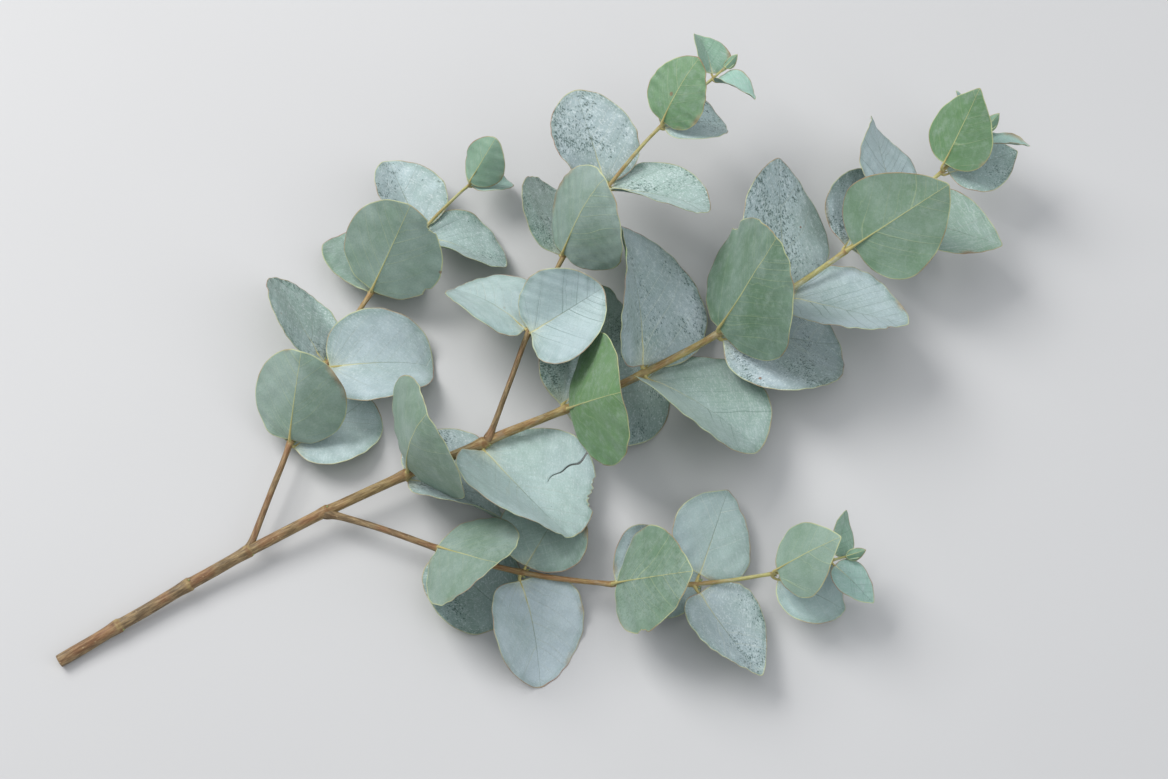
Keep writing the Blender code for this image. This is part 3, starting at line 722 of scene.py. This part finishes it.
class Graph:
    """Short names for the shader nodes that the materials need."""

    def __init__(self, name):
        self.material = bpy.data.materials.new(name)
        self.material.use_nodes = True
        self.tree = self.material.node_tree
        self.shader = self.tree.nodes["Principled BSDF"]

    def put(self, socket, value):
        if isinstance(value, bpy.types.NodeSocket):
            self.tree.links.new(value, socket)
        else:
            socket.default_value = value

    def math(self, op, a, b=0.0, c=0.0, clamp=False):
        n = self.tree.nodes.new("ShaderNodeMath")
        n.operation, n.use_clamp = op, clamp
        for s, x in zip(n.inputs, (a, b, c)):
            self.put(s, x)
        return n.outputs[0]

    def add(self, a, b):
        return self.math("ADD", a, b)

    def sub(self, a, b):
        return self.math("SUBTRACT", a, b)

    def mul(self, a, *rest):
        for b in rest:
            a = self.math("MULTIPLY", a, b)
        return a

    def clamp(self, a):
        return self.math("ADD", a, 0.0, clamp=True)

    def step(self, a, b, x):
        """0 at a, 1 at b, smooth between. a may be above b."""
        n = self.tree.nodes.new("ShaderNodeMapRange")
        n.interpolation_type = "SMOOTHSTEP"
        lo, hi, out = (a, b, (0.0, 1.0)) if not isinstance(a, (int, float)) or not isinstance(b, (int, float)) or a < b else (b, a, (1.0, 0.0))
        self.put(n.inputs["Value"], x)
        self.put(n.inputs["From Min"], lo)
        self.put(n.inputs["From Max"], hi)
        n.inputs["To Min"].default_value, n.inputs["To Max"].default_value = out
        return n.outputs["Result"]

    def mix(self, f, a, b):
        n = self.tree.nodes.new("ShaderNodeMix")
        n.data_type = "RGBA"
        self.put(n.inputs["Factor"], f)
        self.put(n.inputs[6], a)
        self.put(n.inputs[7], b)
        return n.outputs[2]

    def attribute(self, name):
        n = self.tree.nodes.new("ShaderNodeAttribute")
        n.attribute_name = name
        s = self.tree.nodes.new("ShaderNodeSeparateXYZ")
        self.tree.links.new(n.outputs["Vector"], s.inputs[0])
        return n.outputs["Vector"], s.outputs[0], s.outputs[1], s.outputs[2]

    def vector(self, x, y, z):
        n = self.tree.nodes.new("ShaderNodeCombineXYZ")
        for s, v in zip(n.inputs, (x, y, z)):
            self.put(s, v)
        return n.outputs[0]

    def noise(self, at, scale, detail=2.0, rough=0.5, warp=0.0):
        n = self.tree.nodes.new("ShaderNodeTexNoise")
        self.put(n.inputs["Vector"], at)
        for k, v in (("Scale", scale), ("Detail", detail), ("Roughness", rough), ("Distortion", warp)):
            n.inputs[k].default_value = v
        return n.outputs["Fac"]

    def cells(self, at, scale, feature="F1", random=1.0):
        n = self.tree.nodes.new("ShaderNodeTexVoronoi")
        n.feature = feature
        self.put(n.inputs["Vector"], at)
        n.inputs["Scale"].default_value = scale
        n.inputs["Randomness"].default_value = random
        return n.outputs["Distance"]

    def bump(self, height, distance, strength, after=None):
        n = self.tree.nodes.new("ShaderNodeBump")
        n.inputs["Strength"].default_value = strength
        n.inputs["Distance"].default_value = distance
        self.put(n.inputs["Height"], height)
        if after is not None:
            self.put(n.inputs["Normal"], after)
        return n.outputs["Normal"]


def leaf_material():
    g = Graph("eucalyptus_leaf")
    P, x, y, s = g.attribute("flat")
    _, rim, side, rib = g.attribute("info")
    _, bloom, green, age = g.attribute("habit")
    _, rub, dry, L = g.attribute("habit2")
    ay = g.math("ABSOLUTE", y)
    xn, yn = g.math("DIVIDE", x, L), g.math("DIVIDE", ay, L)
    P = g.vector(x, y, s)

    big = g.noise(P, 42, 2.0, 0.5)
    mid = g.noise(P, 150, 3.0, 0.55)
    fine = g.noise(P, 900, 3.0, 0.6)
    under = g.sub(1.0, side)

    # ---- veins. They leave the midrib at a slant and curve towards the tip, and below the first of them they fan out from the base.
    half = g.mul(g.math("SIGN", y), 4.37)
    sway = g.sub(g.noise(g.vector(x, y, g.add(s, 0.7)), 30, 1.0, 0.35), 0.5)
    q = g.sub(g.sub(xn, g.mul(yn, 0.78)), g.mul(yn, yn, 0.55))
    fan = g.math("ARCTAN2", yn, g.math("MAXIMUM", xn, -1.0))
    s_up = g.add(g.math("DIVIDE", q, 0.118), g.mul(g.sub(g.noise(g.vector(g.mul(q, 0.6), half, s), 14, 0.0), 0.5), 1.3))
    s_fan = g.math("DIVIDE", g.sub(0.80, fan), 0.27)
    is_up = g.step(-0.015, 0.015, q)
    line = g.add(g.mul(s_up, is_up), g.mul(s_fan, g.sub(1.0, is_up)))
    line = g.add(g.add(line, g.mul(sway, 1.3)), g.add(half, 20.0))

    def veins(of, width, far):
        """Lines where of passes a whole number, each of its own strength, thinner towards the rim."""
        whole = g.math("ROUND", of)
        d = g.math("ABSOLUTE", g.sub(of, whole))
        own = g.step(0.30, 0.62, g.noise(g.vector(g.mul(whole, 3.7), g.mul(s, 5.3), 2.0), 1.7, 0.0))
        thin = g.mul(g.sub(1.0, g.mul(yn, 1.1)), width)
        return g.mul(g.step(thin, g.mul(thin, 0.35), d), own, g.step(far, far * 0.35, yn))

    lateral = veins(line, 0.055, 0.62)
    minor = veins(g.add(g.mul(line, 2.3), g.mul(g.sub(mid, 0.5), 0.9)), 0.070, 0.50)
    warped = g.vector(g.add(x, g.mul(g.sub(mid, 0.5), 0.0022)), g.add(y, g.mul(g.sub(fine, 0.5), 0.0010)), s)
    net = g.mul(g.step(0.12, 0.02, g.cells(warped, 640, "DISTANCE_TO_EDGE")), g.sub(1.0, g.mul(age, 0.6)))
    mid_width = g.add(0.00016, g.mul(g.math("POWER", g.clamp(g.sub(1.0, xn)), 1.8), 0.00062))
    mid_width = g.mul(mid_width, g.add(0.35, g.mul(L, 11.0)))
    midrib = g.sub(1.0, g.step(0.35, 1.0, g.math("DIVIDE", ay, mid_width)))
    border = g.sub(1.0, g.step(0.4, 1.0, g.math("DIVIDE", g.math("ABSOLUTE", g.sub(rim, g.add(0.0017, g.mul(g.sub(mid, 0.5), 0.0024)))), 0.00020)))

    # ---- colour of the upper face
    own = g.noise(g.vector(g.mul(s, 2.3), 0.0, 5.0), 3.0, 0.0)
    cover = g.add(g.add(bloom, g.mul(g.sub(big, 0.5), 0.85)), g.mul(g.sub(mid, 0.5), 0.40))
    cover = g.clamp(g.sub(cover, g.mul(g.step(0.0050, 0.0, rim), 0.35)))
    top = g.mix(cover, linear(108, 138, 122), g.mix(g.step(0.38, 0.62, own), linear(184, 199, 206), linear(171, 194, 189)))
    top = g.mix(g.mul(g.step(0.35, 0.75, g.noise(P, 24, 1.0, 0.5)), 0.35), top, linear(166, 182, 193))
    top = g.mix(g.mul(age, 0.85), top, linear(146, 186, 170))
    top = g.mix(g.clamp(g.add(green, g.mul(g.sub(mid, 0.5), g.mul(green, 0.8)))), top, linear(108, 144, 100))
    # Flecks where the wax has been rubbed off, in patches, and white grains where it is thick.
    patch = g.step(0.36, 0.62, g.noise(g.vector(x, y, g.add(s, 3.1)), 34, 2.0, 0.5))
    drawn = g.vector(g.mul(g.sub(x, g.mul(ay, 0.55)), 0.62), g.add(ay, g.mul(x, 0.55)), s)
    grain = g.add(g.mul(g.noise(drawn, 1250, 2.0, 0.6, 0.3), 0.6), g.mul(g.noise(P, 430, 3.0, 0.6, 0.4), 0.4))
    level = g.sub(0.690, g.mul(rub, g.add(0.035, g.mul(patch, 0.150))))
    worn = g.step(0.0, 0.050, g.sub(grain, level))
    streak = g.noise(g.vector(g.mul(g.sub(x, g.mul(ay, 0.9)), 0.22), g.mul(g.add(ay, g.mul(x, 0.9)), 1.4), s), 620, 3.0, 0.6, 0.9)
    top = g.mix(g.mul(g.step(0.48, 0.66, streak), 0.30), top, linear(196, 208, 210))
    frost = g.mul(g.step(0.50, 0.36, grain), g.add(0.12, g.mul(rub, 0.62)), g.sub(1.0, g.mul(age, 0.7)))
    top = g.mix(frost, top, linear(214, 224, 226))
    top = g.mix(g.mul(worn, 0.80), top, linear(62, 84, 80))
    base = g.step(0.34, 0.0, g.add(xn, g.mul(yn, 1.1)))
    top = g.mix(g.mul(base, base, 0.45), top, linear(206, 212, 190))
    # Pale rays from the base, strongest close to it.
    ray_at = g.add(g.mul(fan, 3.1), g.mul(sway, 2.4))
    ray = g.mul(g.step(0.20, 0.03, g.math("ABSOLUTE", g.sub(ray_at, g.math("ROUND", ray_at)))), g.step(0.42, 0.05, g.add(xn, yn)))
    top = g.mix(g.mul(ray, 0.30), top, linear(210, 216, 200))
    vein_top = g.mix(g.step(0.40, 0.58, g.noise(g.vector(g.mul(s, 3.1), 2.0, 1.0), 3.0, 0.0)), linear(88, 112, 102), linear(204, 214, 204))
    top = g.mix(g.mul(lateral, 0.52), top, vein_top)
    top = g.mix(g.mul(minor, 0.28), top, vein_top)
    top = g.mix(g.mul(net, 0.09), top, linear(104, 130, 118))
    top = g.mix(g.mul(border, 0.20), top, linear(112, 138, 122))
    rib_top = g.mix(g.step(0.10, 0.60, xn), linear(208, 206, 160), linear(104, 124, 108))
    top = g.mix(g.mul(midrib, g.sub(0.85, g.mul(xn, 0.45))), top, rib_top)

    # ---- colour of the underside: greener, duller, with paler raised veins
    vivid = g.mul(g.step(0.47, 0.60, g.noise(g.vector(g.mul(s, 1.9), 4.0, 2.0), 3.0, 0.0)), 1.0)
    milky = g.clamp(g.add(g.mul(g.sub(bloom, 0.60), 2.4), g.mul(g.sub(big, 0.5), 1.5)))
    low = g.mix(milky, g.mix(vivid, linear(100, 130, 104), linear(92, 134, 74)), g.mix(vivid, linear(146, 165, 160), linear(118, 150, 112)))
    low = g.mix(g.mul(g.step(0.46, 0.68, g.add(g.mul(mid, 0.6), g.mul(fine, 0.4))), 0.28), low, linear(160, 176, 168))
    low = g.mix(g.mul(age, 0.6), low, linear(134, 170, 146))
    low = g.mix(g.mul(net, 0.16), low, linear(84, 116, 82))
    low = g.mix(g.mul(g.step(0.46, 0.66, g.noise(P, 300, 3.0, 0.6, 0.6)), 0.16), low, linear(162, 180, 168))
    low = g.mix(g.mul(lateral, 0.38), low, linear(172, 188, 144))
    low = g.mix(g.mul(minor, 0.20), low, linear(172, 188, 144))
    low = g.mix(g.mul(midrib, 0.80), low, linear(190, 192, 132))
    low = g.mix(g.mul(worn, 0.30), low, linear(76, 104, 76))
    colour = g.mix(under, top, low)

    # ---- rim, blemishes and stalk
    hem_far = g.step(0.00062, 0.00012, g.add(rim, g.mul(g.sub(mid, 0.5), 0.0006)))
    tint = g.mix(g.step(0.42, 0.66, g.noise(g.vector(x, y, g.add(s, 7.7)), 55, 1.0)), linear(204, 208, 152), linear(168, 132, 86))
    tint = g.mix(g.mul(g.step(0.55, 0.7, g.noise(g.vector(x, y, g.add(s, 1.7)), 30, 1.0)), 0.8), tint, linear(158, 92, 68))
    colour = g.mix(g.mul(hem_far, g.add(0.45, g.mul(big, 0.5))), colour, tint)
    seat = g.cells(g.vector(x, y, g.mul(s, 40.0)), 62, "F1")
    size = g.mul(g.noise(g.vector(x, y, g.add(s, 9.0)), 80, 1.0), 0.16)
    scab = g.mul(g.step(0.0, -0.03, g.sub(seat, g.add(size, g.sub(g.mul(dry, 0.09), 0.085)))), g.step(0.40, 0.55, g.noise(g.vector(x, y, g.add(s, 4.0)), 25, 0.0)))
    colour = g.mix(g.mul(scab, 0.85), colour, g.mix(g.step(0.4, 0.6, fine), linear(150, 104, 76), linear(112, 84, 62)))
    burn = g.mul(g.step(0.60, 0.70, g.noise(g.vector(x, y, g.add(s, 12.3)), 30, 2.0, 0.6)), g.step(0.0034, 0.0006, g.add(rim, g.mul(g.sub(fine, 0.5), 0.004))), g.step(0.05, 0.45, dry))
    colour = g.mix(g.mul(burn, 0.75), colour, g.mix(g.step(0.35, 0.65, mid), linear(132, 104, 78), linear(168, 148, 116)))
    stalk = g.mix(g.step(0.4, 1.0, rib), linear(176, 184, 126), linear(196, 182, 118))
    colour = g.mix(g.step(0.02, 0.12, rib), colour, g.mix(g.mul(mid, 0.5), stalk, linear(140, 132, 84)))
    g.put(g.shader.inputs["Base Color"], colour)

    # ---- gloss: the wax is matt, and bare leaf shines a little
    gloss = g.sub(g.add(0.46, g.mul(cover, 0.13)), g.mul(worn, 0.12))
    gloss = g.add(gloss, g.mul(g.sub(fine, 0.5), 0.16))
    gloss = g.add(gloss, g.mul(under, 0.04))
    g.put(g.shader.inputs["Roughness"], g.clamp(gloss))
    g.shader.inputs["Specular IOR Level"].default_value = 0.42
    g.shader.inputs["Sheen Weight"].default_value = 0.12
    g.shader.inputs["Sheen Roughness"].default_value = 0.5
    g.shader.inputs["Sheen Tint"].default_value = (0.85, 0.93, 0.95, 1.0)

    # ---- relief
    sign = g.sub(g.mul(under, 2.0), 1.0)
    raised = g.mul(g.add(g.add(g.mul(lateral, 0.55), g.mul(minor, 0.25)), g.add(g.mul(net, 0.22), g.mul(midrib, 0.5))), sign)
    soft = g.add(g.mul(g.sub(mid, 0.5), 0.7), g.mul(g.sub(fine, 0.5), 0.22))
    wax = g.sub(g.mul(g.sub(g.noise(P, 2600, 2.0, 0.6), 0.5), 0.16), g.mul(worn, 0.16))
    n = g.bump(g.add(g.add(raised, soft), wax), 0.00022, 0.75)
    g.put(g.shader.inputs["Normal"], n)
    return g.material


def stem_material():
    g = Graph("eucalyptus_stem")
    _, s, c, seed = g.attribute("bark")
    _, along, close, kind = g.attribute("stem")
    _, rc, rs, rr = g.attribute("round")
    P = g.vector(s, g.mul(rc, 0.0022), g.add(g.mul(rs, 0.0022), seed))
    grainP = g.vector(g.mul(s, 0.16), g.mul(rc, 0.0024), g.add(g.mul(rs, 0.0024), seed))
    big = g.noise(P, 36, 2.0, 0.5)
    mid = g.noise(P, 260, 3.0, 0.55)
    fine = g.noise(P, 1500, 3.0, 0.6)
    grain = g.noise(grainP, 950, 4.0, 0.6, 0.2)
    t = g.clamp(g.add(along, g.mul(g.sub(big, 0.5), 0.22)))
    low = g.mix(g.step(0.35, 0.7, grain), linear(98, 80, 56), linear(156, 132, 96))
    warm = g.step(0.30, 0.60, g.noise(g.vector(g.mul(seed, 7.0), 0.0, 0.0), 1.3, 0.0))
    mid_c = g.mix(g.step(0.3, 0.7, grain), g.mix(warm, linear(116, 108, 62), linear(134, 98, 58)), g.mix(warm, linear(168, 158, 102), linear(178, 146, 98)))
    high = g.mix(g.step(0.3, 0.7, mid), linear(164, 160, 92), linear(186, 184, 122))
    colour = g.mix(g.step(0.10, 0.48, t), low, mid_c)
    colour = g.mix(g.step(0.48, 0.92, t), colour, high)
    # Sun-reddened side and a patchy grey bloom
    red = g.mul(g.step(0.25, 0.95, rs), g.step(0.42, 0.66, g.noise(P, 60, 1.0)))
    colour = g.mix(g.mul(red, 0.45), colour, linear(146, 90, 56))
    threads = g.noise(g.vector(g.mul(s, 0.07), g.mul(rc, 0.0030), g.add(g.mul(rs, 0.0030), g.add(seed, 2.0))), 2600, 3.0, 0.65, 0.1)
    colour = g.mix(g.mul(g.step(0.52, 0.66, threads), 0.35), colour, linear(92, 72, 48))
    colour = g.mix(g.mul(g.step(0.50, 0.34, threads), 0.22), colour, linear(200, 184, 142))
    wax = g.mul(g.step(0.50, 0.66, g.noise(g.vector(g.mul(s, 0.5), g.mul(rc, 0.003), g.add(g.mul(rs, 0.003), g.add(seed, 4.0))), 300, 3.0, 0.6)), g.step(0.2, 0.9, along))
    colour = g.mix(g.mul(wax, 0.50), colour, linear(188, 198, 184))
    ring = g.step(0.25, 0.95, close)
    colour = g.mix(g.mul(ring, 0.62), colour, g.mix(g.step(0.4, 0.6, mid), linear(128, 92, 56), linear(168, 148, 100)))
    pores = g.step(0.16, 0.08, g.cells(g.vector(g.mul(s, 0.6), g.mul(rc, 0.0022), g.add(g.mul(rs, 0.0022), seed)), 420, "F1"))
    colour = g.mix(g.mul(pores, g.sub(0.55, g.mul(along, 0.4))), colour, linear(196, 174, 134))
    # Cut wood (kind 1) and buds (kind 2)
    rays = g.noise(g.vector(g.mul(rc, 0.6), g.mul(rs, 0.6), 0.0), 9.0, 3.0, 0.6)
    wood = g.mix(g.step(0.3, 0.7, rays), linear(206, 190, 146), linear(226, 214, 176))
    wood = g.mix(g.step(0.28, 0.14, close), wood, linear(170, 140, 96))
    wood = g.mix(g.step(0.84, 0.93, close), wood, linear(122, 118, 70))
    cut = g.mul(g.step(0.5, 0.9, kind), g.step(1.6, 1.2, kind))
    colour = g.mix(cut, colour, wood)
    bud = g.mix(g.step(0.3, 0.9, close), linear(150, 142, 84), linear(140, 168, 118))
    bud = g.mix(g.mul(g.step(0.5, 0.65, mid), 0.5), bud, linear(140, 96, 60))
    is_bud = g.step(1.5, 1.9, kind)
    colour = g.mix(is_bud, colour, bud)
    g.put(g.shader.inputs["Base Color"], colour)
    g.put(g.shader.inputs["Roughness"], g.clamp(g.add(g.add(0.42, g.mul(wax, 0.2)), g.add(g.mul(g.sub(grain, 0.5), 0.25), g.mul(g.sub(1.0, along), 0.14)))))
    g.shader.inputs["Specular IOR Level"].default_value = 0.4
    woody = g.add(0.35, g.mul(g.sub(1.0, t), 0.9))
    height = g.add(g.mul(g.sub(grain, 0.5), woody), g.add(g.mul(g.sub(mid, 0.5), 0.5), g.mul(g.sub(fine, 0.5), 0.2)))
    height = g.sub(height, g.mul(g.step(0.52, 0.66, threads), woody, 0.35))
    height = g.add(height, g.mul(pores, 0.5))
    g.put(g.shader.inputs["Normal"], g.bump(height, 0.00025, 0.8))
    return g.material


def floor_material():
    g = Graph("pale_surface")
    at = g.tree.nodes.new("ShaderNodeTexCoord").outputs["Object"]
    n = g.noise(at, 3.0, 3.0)
    g.put(g.shader.inputs["Base Color"], g.mix(n, linear(196, 196, 197), linear(203, 203, 204)))
    g.shader.inputs["Roughness"].default_value = 0.85
    g.shader.inputs["Specular IOR Level"].default_value = 0.2
    return g.material


LEAF, STEM = leaf_material(), stem_material()

# ------------------------------------------------------------ the pieces
shoots = {n: Shoot(**s) for n, s in SHOOTS.items()}
leaves = leaf_table()
worst = 0.0
for i, leaf in enumerate(leaves):
    find_stance(leaf, shoots[leaf["shoot"]])
    leaf["index"] = i
    worst = max(worst, leaf["off"])
print("worst distance of a leaf's box from its solid's, mm:", round(worst / MM, 3))

for i, leaf in enumerate(leaves):
    chance = np.random.RandomState(100 + i)
    base, axes = leaf["base"], leaf["axes"]

    def to_world(p, base=base, axes=axes):
        w = p @ axes.T + base
        w[..., 2] = on_surface(w[..., 2])
        return w

    r = chance.uniform(0, 1, 8)
    young = leaf["young"]
    bloom = 0.62 + 0.36 * r[0]
    green = 0.0 if r[1] < 0.72 else 0.15 + 0.35 * r[2]
    rub = (0.75 + 0.25 * r[5] if r[3] < 0.38 else 0.40 * r[5]) * (1 - 0.75 * young)
    habit = (bloom, green, min(1.0, young * 1.9))
    habit2 = (rub, r[4] ** 2)
    grid = (40, 48) if leaf["length"] < 40 * MM else (84, 110) if leaf["name"] in NIBBLES else (60, 70)
    build = Build()
    fine_leaf(build, leaf, to_world, chance, grid, habit, habit2)
    shoot = shoots[leaf["shoot"]]
    centre = shoot.at(leaf["s"])
    out = unit(base - centre)
    root = centre + out * (shoot.radius(leaf["s"]) - 0.5 * MM)
    leaf_stalk(build, leaf, to_world, root, habit, habit2)
    build.make(leaf["name"] + "_blade", LEAF, "leaf", leaf["name"])

SLOT = {"main": "stem", "left": "shoot", "right": "shoot", "upper": "shoot"}
NODE = {"main": "main_stem", "left": "left_side_shoot", "right": "right_side_shoot", "upper": "upper_side_shoot"}
# The long main stem is drawn in three stretches, each with a material map of its own, so its bark and the leaves keep their fine detail. They meet in the crease of a node.
STRETCHES = {"main": (196.6 * MM, 373.6 * MM)}
PARTS = ("lower", "middle", "top")
for k, (name, shoot) in enumerate(shoots.items()):
    cuts = STRETCHES.get(name, ())
    builds = [Build() for _ in range(len(cuts) + 1)]
    part_of = lambda s, cuts=cuts, builds=builds: builds[sum(s > c for c in cuts)]
    places = {s * MM: plane for s, _, _, _, _, plane in NODES[name]}
    scars = [s * MM for s in BARE.get(name, ())]
    stem(builds, name, shoot, places, scars, 7 + k, cuts)
    chance = np.random.RandomState(60 + k)
    spots = itertools.count()
    # A small bud in the angle between each leaf and the stem.
    for leaf in leaves:
        if leaf["shoot"] != name or leaf["young"] > 0.3:
            continue
        s = leaf["s"]
        centre, T = shoot.at(s + 0.6 * MM), shoot.along(s)
        out = unit(leaf["base"] - shoot.at(s))
        j = next(spots)
        start = centre + out * (shoot.radius(s) - 0.15 * MM)
        spindle(part_of(s), start, T + out * 0.55, (1.9 + 1.3 * chance.rand()) * MM, (1.1 + 0.3 * chance.rand()) * MM,
                2.0, j, 0.5, (0.20 + 0.028 * (j % 26), 0.915 + 0.036 * (j // 26)))
    # Dormant buds and leaf scars on the bare lower nodes.
    for i, s in enumerate(scars):
        T = shoot.along(s)
        A = unit(np.cross(T, UP))
        B = np.cross(A, T)
        turn = i * math.pi / 2 + 0.3
        for side in (1, -1):
            out = side * (math.cos(turn) * A + math.sin(turn) * B)
            if out[2] < -0.7:
                continue
            j = next(spots)
            start = shoot.at(s + 0.5 * MM) + out * (shoot.radius(s) - 0.1 * MM)
            spindle(part_of(s), start, T + out * 0.8, 1.5 * MM, 1.3 * MM, 2.0, j, 0.1, (0.20 + 0.028 * (j % 26), 0.915 + 0.036 * (j // 26)))
    for part, build in zip(PARTS, builds):
        build.make(name + "_bark" + (f"_{part}" if cuts else ""), STEM, SLOT[name], NODE[name])

# Growing tips: two small leaves folded round the bud, turned a right angle from the last pair.
for k, (name, shoot) in enumerate(shoots.items()):
    build = Build()
    chance = np.random.RandomState(80 + k)
    T = shoot.along(shoot.length)
    end = shoot.at(shoot.length)
    side = unit(np.cross(UP, T))
    across = side if NODES[name][-1][5] == "V" else np.cross(T, side)
    size = {"main": 12.0, "left": 10.5, "right": 10.5, "upper": 9.5}[name] * MM
    for way in (1, -1):
        O = across * way
        spread = math.radians(15 + 8 * chance.rand())
        D = math.cos(spread) * T + math.sin(spread) * O
        N = math.sin(spread) * T - math.cos(spread) * O
        young = dict(
            name=f"{name}_tip", length=size * (1 + 0.1 * way * chance.rand()), ratio=0.62, point=0.13, ovate=0.10, lobe=0.0, fold=32.0, curl=-14.0 + 8 * way,
            cup=0.30, wave=0.02, waves=3, phase=3 * chance.rand(), twist=10.0 * way, skew=0.0, index=60 + 2 * k + (way > 0),
        )
        base = end + O * 0.35 * MM - T * 0.5 * MM
        axes = np.stack([D, np.cross(N, D), N], 1)
        world = lambda p, base=base, axes=axes: p @ axes.T + base
        fine_leaf(build, young, world, chance, (26, 28), (0.5, 0.1, 1.0), (0.1, 0.0))
    count = len(np.concatenate(build.points))
    obj = build.make(name + "_growing_tip", LEAF, "bud", f"{name}_tip_bud")
    # The bud between the two young leaves.
    bud = Build()
    spindle(bud, end - T * 0.6 * MM, T, 5.0 * MM, 1.7 * MM, 2.0, 3 + k, 1.0, (0.1, 0.1))
    piece = bud.make(name + "_bud_core", STEM, "bud", None)

# ------------------------------------------------------------ surface, lights and camera
floor_mesh = bpy.data.meshes.new("surface")
floor_mesh.from_pydata([(-6, -6, 0), (6, -6, 0), (6, 6, 0), (-6, 6, 0)], [], [(0, 1, 2, 3)])
floor_mesh.materials.append(floor_material())
floor = bpy.data.objects.new("surface", floor_mesh)
bpy.context.scene.collection.objects.link(floor)


def area(name, at, size, power, colour=(1.0, 1.0, 1.0)):
    data = bpy.data.lights.new(name, "AREA")
    data.shape, data.size, data.size_y = "RECTANGLE", size[0], size[1]
    data.energy, data.color = power, colour
    obj = bpy.data.objects.new(name, data)
    obj.location = at
    obj.rotation_mode = "QUATERNION"
    obj.rotation_quaternion = (Vector((0, 0, 0.03)) - Vector(at)).to_track_quat("-Z", "Y")
    bpy.context.scene.collection.objects.link(obj)
    return obj


AZIMUTH, ELEVATION = math.radians(-28), math.radians(68)
right = Vector((math.cos(AZIMUTH), math.sin(AZIMUTH), 0))
away = Vector((-math.sin(AZIMUTH), math.cos(AZIMUTH), 0))
area("key", tuple(-1.1 * right + 0.9 * away + Vector((0, 0, 1.5))), (1.1, 1.1), 34.0, (1.0, 0.99, 0.97))
area("fill", tuple(1.6 * right - 0.6 * away + Vector((0, 0, 1.2))), (1.6, 1.6), 9.0, (0.94, 0.97, 1.0))
area("top", (0.0, 0.0, 2.2), (2.4, 2.4), 16.0, (0.98, 0.99, 1.0))

world = bpy.data.worlds.new("studio")
world.use_nodes = True
world.node_tree.nodes["Background"].inputs["Color"].default_value = (0.90, 0.93, 0.97, 1.0)
world.node_tree.nodes["Background"].inputs["Strength"].default_value = 0.38
bpy.context.scene.world = world
bpy.context.scene.view_settings.view_transform = "Standard"

camera_data = bpy.data.cameras.new("camera")
camera_data.lens, camera_data.sensor_width = 72.0, 36.0
camera_data.dof.use_dof = False
camera = bpy.data.objects.new("camera", camera_data)
back = Vector((math.sin(AZIMUTH) * math.cos(ELEVATION), -math.cos(AZIMUTH) * math.cos(ELEVATION), math.sin(ELEVATION)))
aim = Vector((0.012, 0.0, 0.03))
camera.location = aim + back * 1.19
camera.rotation_mode = "QUATERNION"
camera.rotation_quaternion = (-back).to_track_quat("-Z", "Y")
bpy.context.scene.collection.objects.link(camera)
bpy.context.scene.camera = camera
